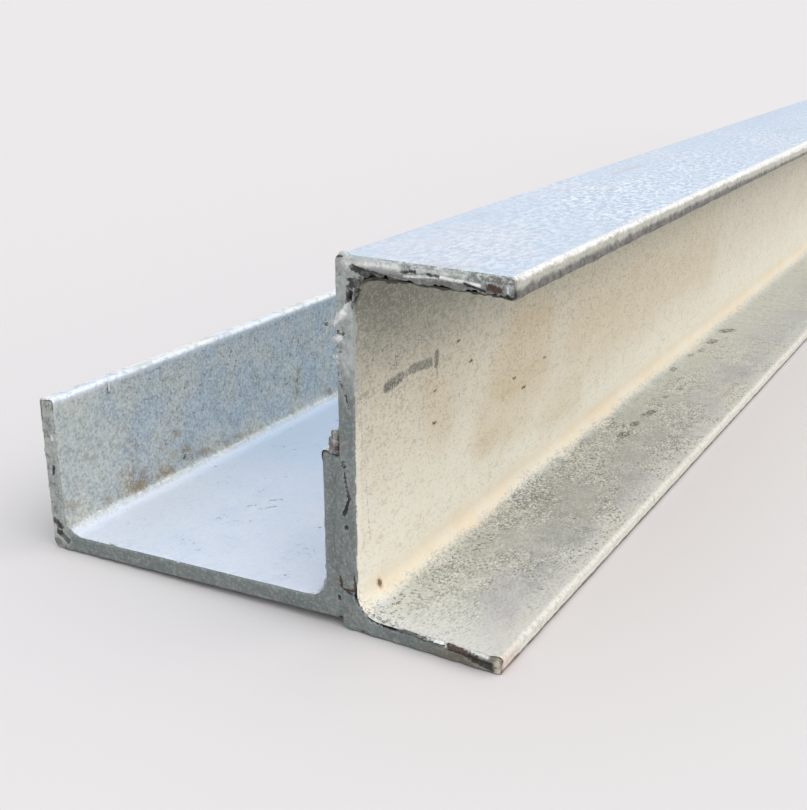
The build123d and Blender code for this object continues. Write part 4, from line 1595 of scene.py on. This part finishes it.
class POST_OT_end_welds(PostOperator):
    """Makes the metal that closes the wedge at both ends, with its smear over the seam"""

    bl_idname = "post.end_welds"
    bl_label = "End welds"

    def execute(self, context):
        cut = finish("cut_end_zinc", paint_cut)
        for number, node in enumerate(END_WELDS):
            low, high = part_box(node)
            z, swell = bead_profile(low.z, high.z, 70, 2 * MM)
            middle_y = (low.y + high.y) / 2
            gap = (z - low.z) / (high.z - low.z)
            middle = np.stack([UPRIGHT_LOW.x - (0.25 + 0.4 * gap) * MM, np.full_like(z, middle_y), z], 1)
            fill = tube(
                middle, (1, 0, 0), (0, 1, 0),
                (0.45 + 0.5 * gap) * MM * swell, (high.y - low.y) / 2 * swell, 90 + number, 20, 0.03,
            )
            smear = cushion(self.smear(middle_y > 0, 95 + number))
            parts = [fill, smear]
            points = np.concatenate([part[0] for part in parts])
            piece = new_piece(f"{node}_fill", parts, [cut], end_marks(points, middle_y < 0))
            self.stands_for(piece, "galvanised_weld", node)
        return {"FINISHED"}

    def smear(self, far, seed):
        """Zinc over the seam's end: a strip in X and Z, its rim sunk, its face wavy."""
        s = sizes()
        z = np.linspace(*SMEAR_HEIGHTS, 200)[:, None] * MM
        t = np.linspace(0, 1, 24)[None, :]
        edge = np.stack([z[:, 0], z[:, 0] * 0], 1)
        left, right = (side * MM for side in SMEAR_SIDES)
        left = left + 0.5 * MM * waves(edge, 9 * MM, seed)[:, None]
        right = right + 0.4 * MM * waves(edge, 7 * MM, seed + 1)[:, None]
        x = left + (right - left) * t
        z = z + 0 * t
        flat = np.stack([x, z], -1)
        from_rim = np.minimum(np.minimum(t, 1 - t) * 3.3 * MM, np.minimum(z - z.min(), z.max() - z))
        lift = step(from_rim, 0, 1.3 * MM)
        face = (0.36 + lumps(flat, seed + 2, (5, 0.05), (1.5, 0.03))) * MM
        height = face * lift - 0.1 * MM + (0 if far else lift * raised(x, z, UPRIGHT_RELIEF))
        height = np.maximum(height, lift * 0.04 * MM - 0.1 * MM)
        if far:
            return np.stack([x, NEAR_END + POST_LENGTH + height, z], -1)
        slope = s.upright_slant_up * z
        return np.stack([x, NEAR_END + slope - height, z], -1)


class POST_OT_stage(PostOperator):
    """Sets the floor, the soft light and the camera"""

    bl_idname = "post.stage"
    bl_label = "Stage"

    def execute(self, context):
        scene = context.scene
        g = scene.post_stage
        self.floor(g)
        self.world(scene, g)
        self.lamp("sky_light", (0.0, 0.0, 1.0), g.sky_spread, g.sky, g.sky_tint)
        self.lamp("side_light", (1.0, 0.10, 0.90), g.side_spread, g.side, g.side_tint)
        self.camera(scene, g)
        scene.view_settings.view_transform = "Standard"
        return {"FINISHED"}

    def floor(self, g):
        half = 60.0
        corners = np.array([(-half, -half, 0), (half, -half, 0), (half, half, 0), (-half, half, 0)])
        mesh = bpy.data.meshes.new("floor")
        mesh.from_pydata(corners - (0, 0, 0.05 * MM), [], [(0, 1, 2, 3)])
        floor = bpy.data.objects.new("floor", mesh)
        bpy.context.scene.collection.objects.link(floor)
        material = bpy.data.materials.new("floor_paint")
        material.use_nodes = True
        shader = material.node_tree.nodes["Principled BSDF"]
        shader.inputs["Base Color"].default_value = (*g.floor, 1)
        shader.inputs["Roughness"].default_value = 1.0
        shader.inputs["Specular IOR Level"].default_value = 0.0
        mesh.materials.append(material)

    def world(self, scene, g):
        world = bpy.data.worlds.new("surroundings")
        scene.world = world
        world.use_nodes = True
        t = Tree(world.node_tree)
        path = t.node("ShaderNodeLightPath", None, None)
        seen = t.most(path["Is Camera Ray"], path["Is Glossy Ray"], path["Is Transmission Ray"])
        light = t.node("ShaderNodeBackground", {"Color": (0.97, 0.985, 1.0, 1), "Strength": g.ambient})
        pale = t.node("ShaderNodeBackground", {"Color": (*g.backdrop, 1), "Strength": 1.0})
        both = t.node("ShaderNodeMixShader", {0: seen, 1: light, 2: pale})
        output = t.tree.nodes.new("ShaderNodeOutputWorld")
        t.tree.links.new(both, output.inputs["Surface"])

    def lamp(self, name, towards, spread, level, tint):
        lamp = bpy.data.lights.new(name, "SUN")
        lamp.angle = spread
        lamp.energy = level * np.pi
        lamp.color = tint
        holder = bpy.data.objects.new(name, lamp)
        holder.rotation_euler = Vector(towards).to_track_quat("Z", "Y").to_euler()
        holder.location = Vector(towards).normalized() * 2
        bpy.context.scene.collection.objects.link(holder)

    def camera(self, scene, g):
        data = bpy.data.cameras.new("camera")
        camera = bpy.data.objects.new("camera", data)
        scene.collection.objects.link(camera)
        ahead = Vector((sin(g.yaw) * cos(g.pitch), cos(g.yaw) * cos(g.pitch), sin(g.pitch)))
        level = ahead.cross(Vector((0, 0, 1))).normalized()
        above = level.cross(ahead)
        right = level * cos(g.roll) + above * sin(g.roll)
        up = right.cross(ahead)
        turn = Matrix((right, up, -ahead)).transposed().to_4x4()
        camera.matrix_world = Matrix.Translation((g.camera_x, g.camera_y, g.camera_z)) @ turn
        longest = max(IMAGE_WIDTH, IMAGE_HEIGHT)
        data.sensor_width = 36.0
        data.lens = g.focal * data.sensor_width / longest
        data.shift_x = (IMAGE_WIDTH / 2 - g.axis_x) / longest
        data.shift_y = (g.axis_y - IMAGE_HEIGHT / 2) / longest
        data.clip_start, data.clip_end = 0.01, 300.0
        scene.camera = camera


class POST_PT_panel(bpy.types.Panel):
    """Lists the post's operators and values"""

    bl_idname = "POST_PT_panel"
    bl_label = "Corner Post"
    bl_space_type = "VIEW_3D"
    bl_region_type = "UI"
    bl_category = "Corner Post"

    def draw(self, context):
        for operator in OPERATORS:
            self.layout.operator(operator.bl_idname)
        for group in (context.scene.post_sizes, context.scene.post_colours, context.scene.post_stage):
            box = self.layout.box()
            for key in group.bl_rna.properties.keys():
                if key not in ("rna_type", "name"):
                    box.prop(group, key)


OPERATORS = (
    POST_OT_stage,
    POST_OT_channels,
    POST_OT_end_skins,
    POST_OT_lips,
    POST_OT_drips,
    POST_OT_toe_welds,
    POST_OT_heel_welds,
    POST_OT_end_welds,
)
GROUPS = (PostSizes, PostColours, StageSettings)


def register():
    for kind in GROUPS + OPERATORS + (POST_PT_panel,):
        bpy.utils.register_class(kind)
    bpy.types.Scene.post_sizes = PointerProperty(type=PostSizes)
    bpy.types.Scene.post_colours = PointerProperty(type=PostColours)
    bpy.types.Scene.post_stage = PointerProperty(type=StageSettings)


def unregister():
    del bpy.types.Scene.post_stage, bpy.types.Scene.post_colours, bpy.types.Scene.post_sizes
    for kind in (POST_PT_panel,) + OPERATORS[::-1] + GROUPS[::-1]:
        bpy.utils.unregister_class(kind)


def main():
    register()
    for operator in OPERATORS:
        getattr(bpy.ops.post, operator.bl_idname.split(".")[1])()


if __name__ == "__main__":
    main()
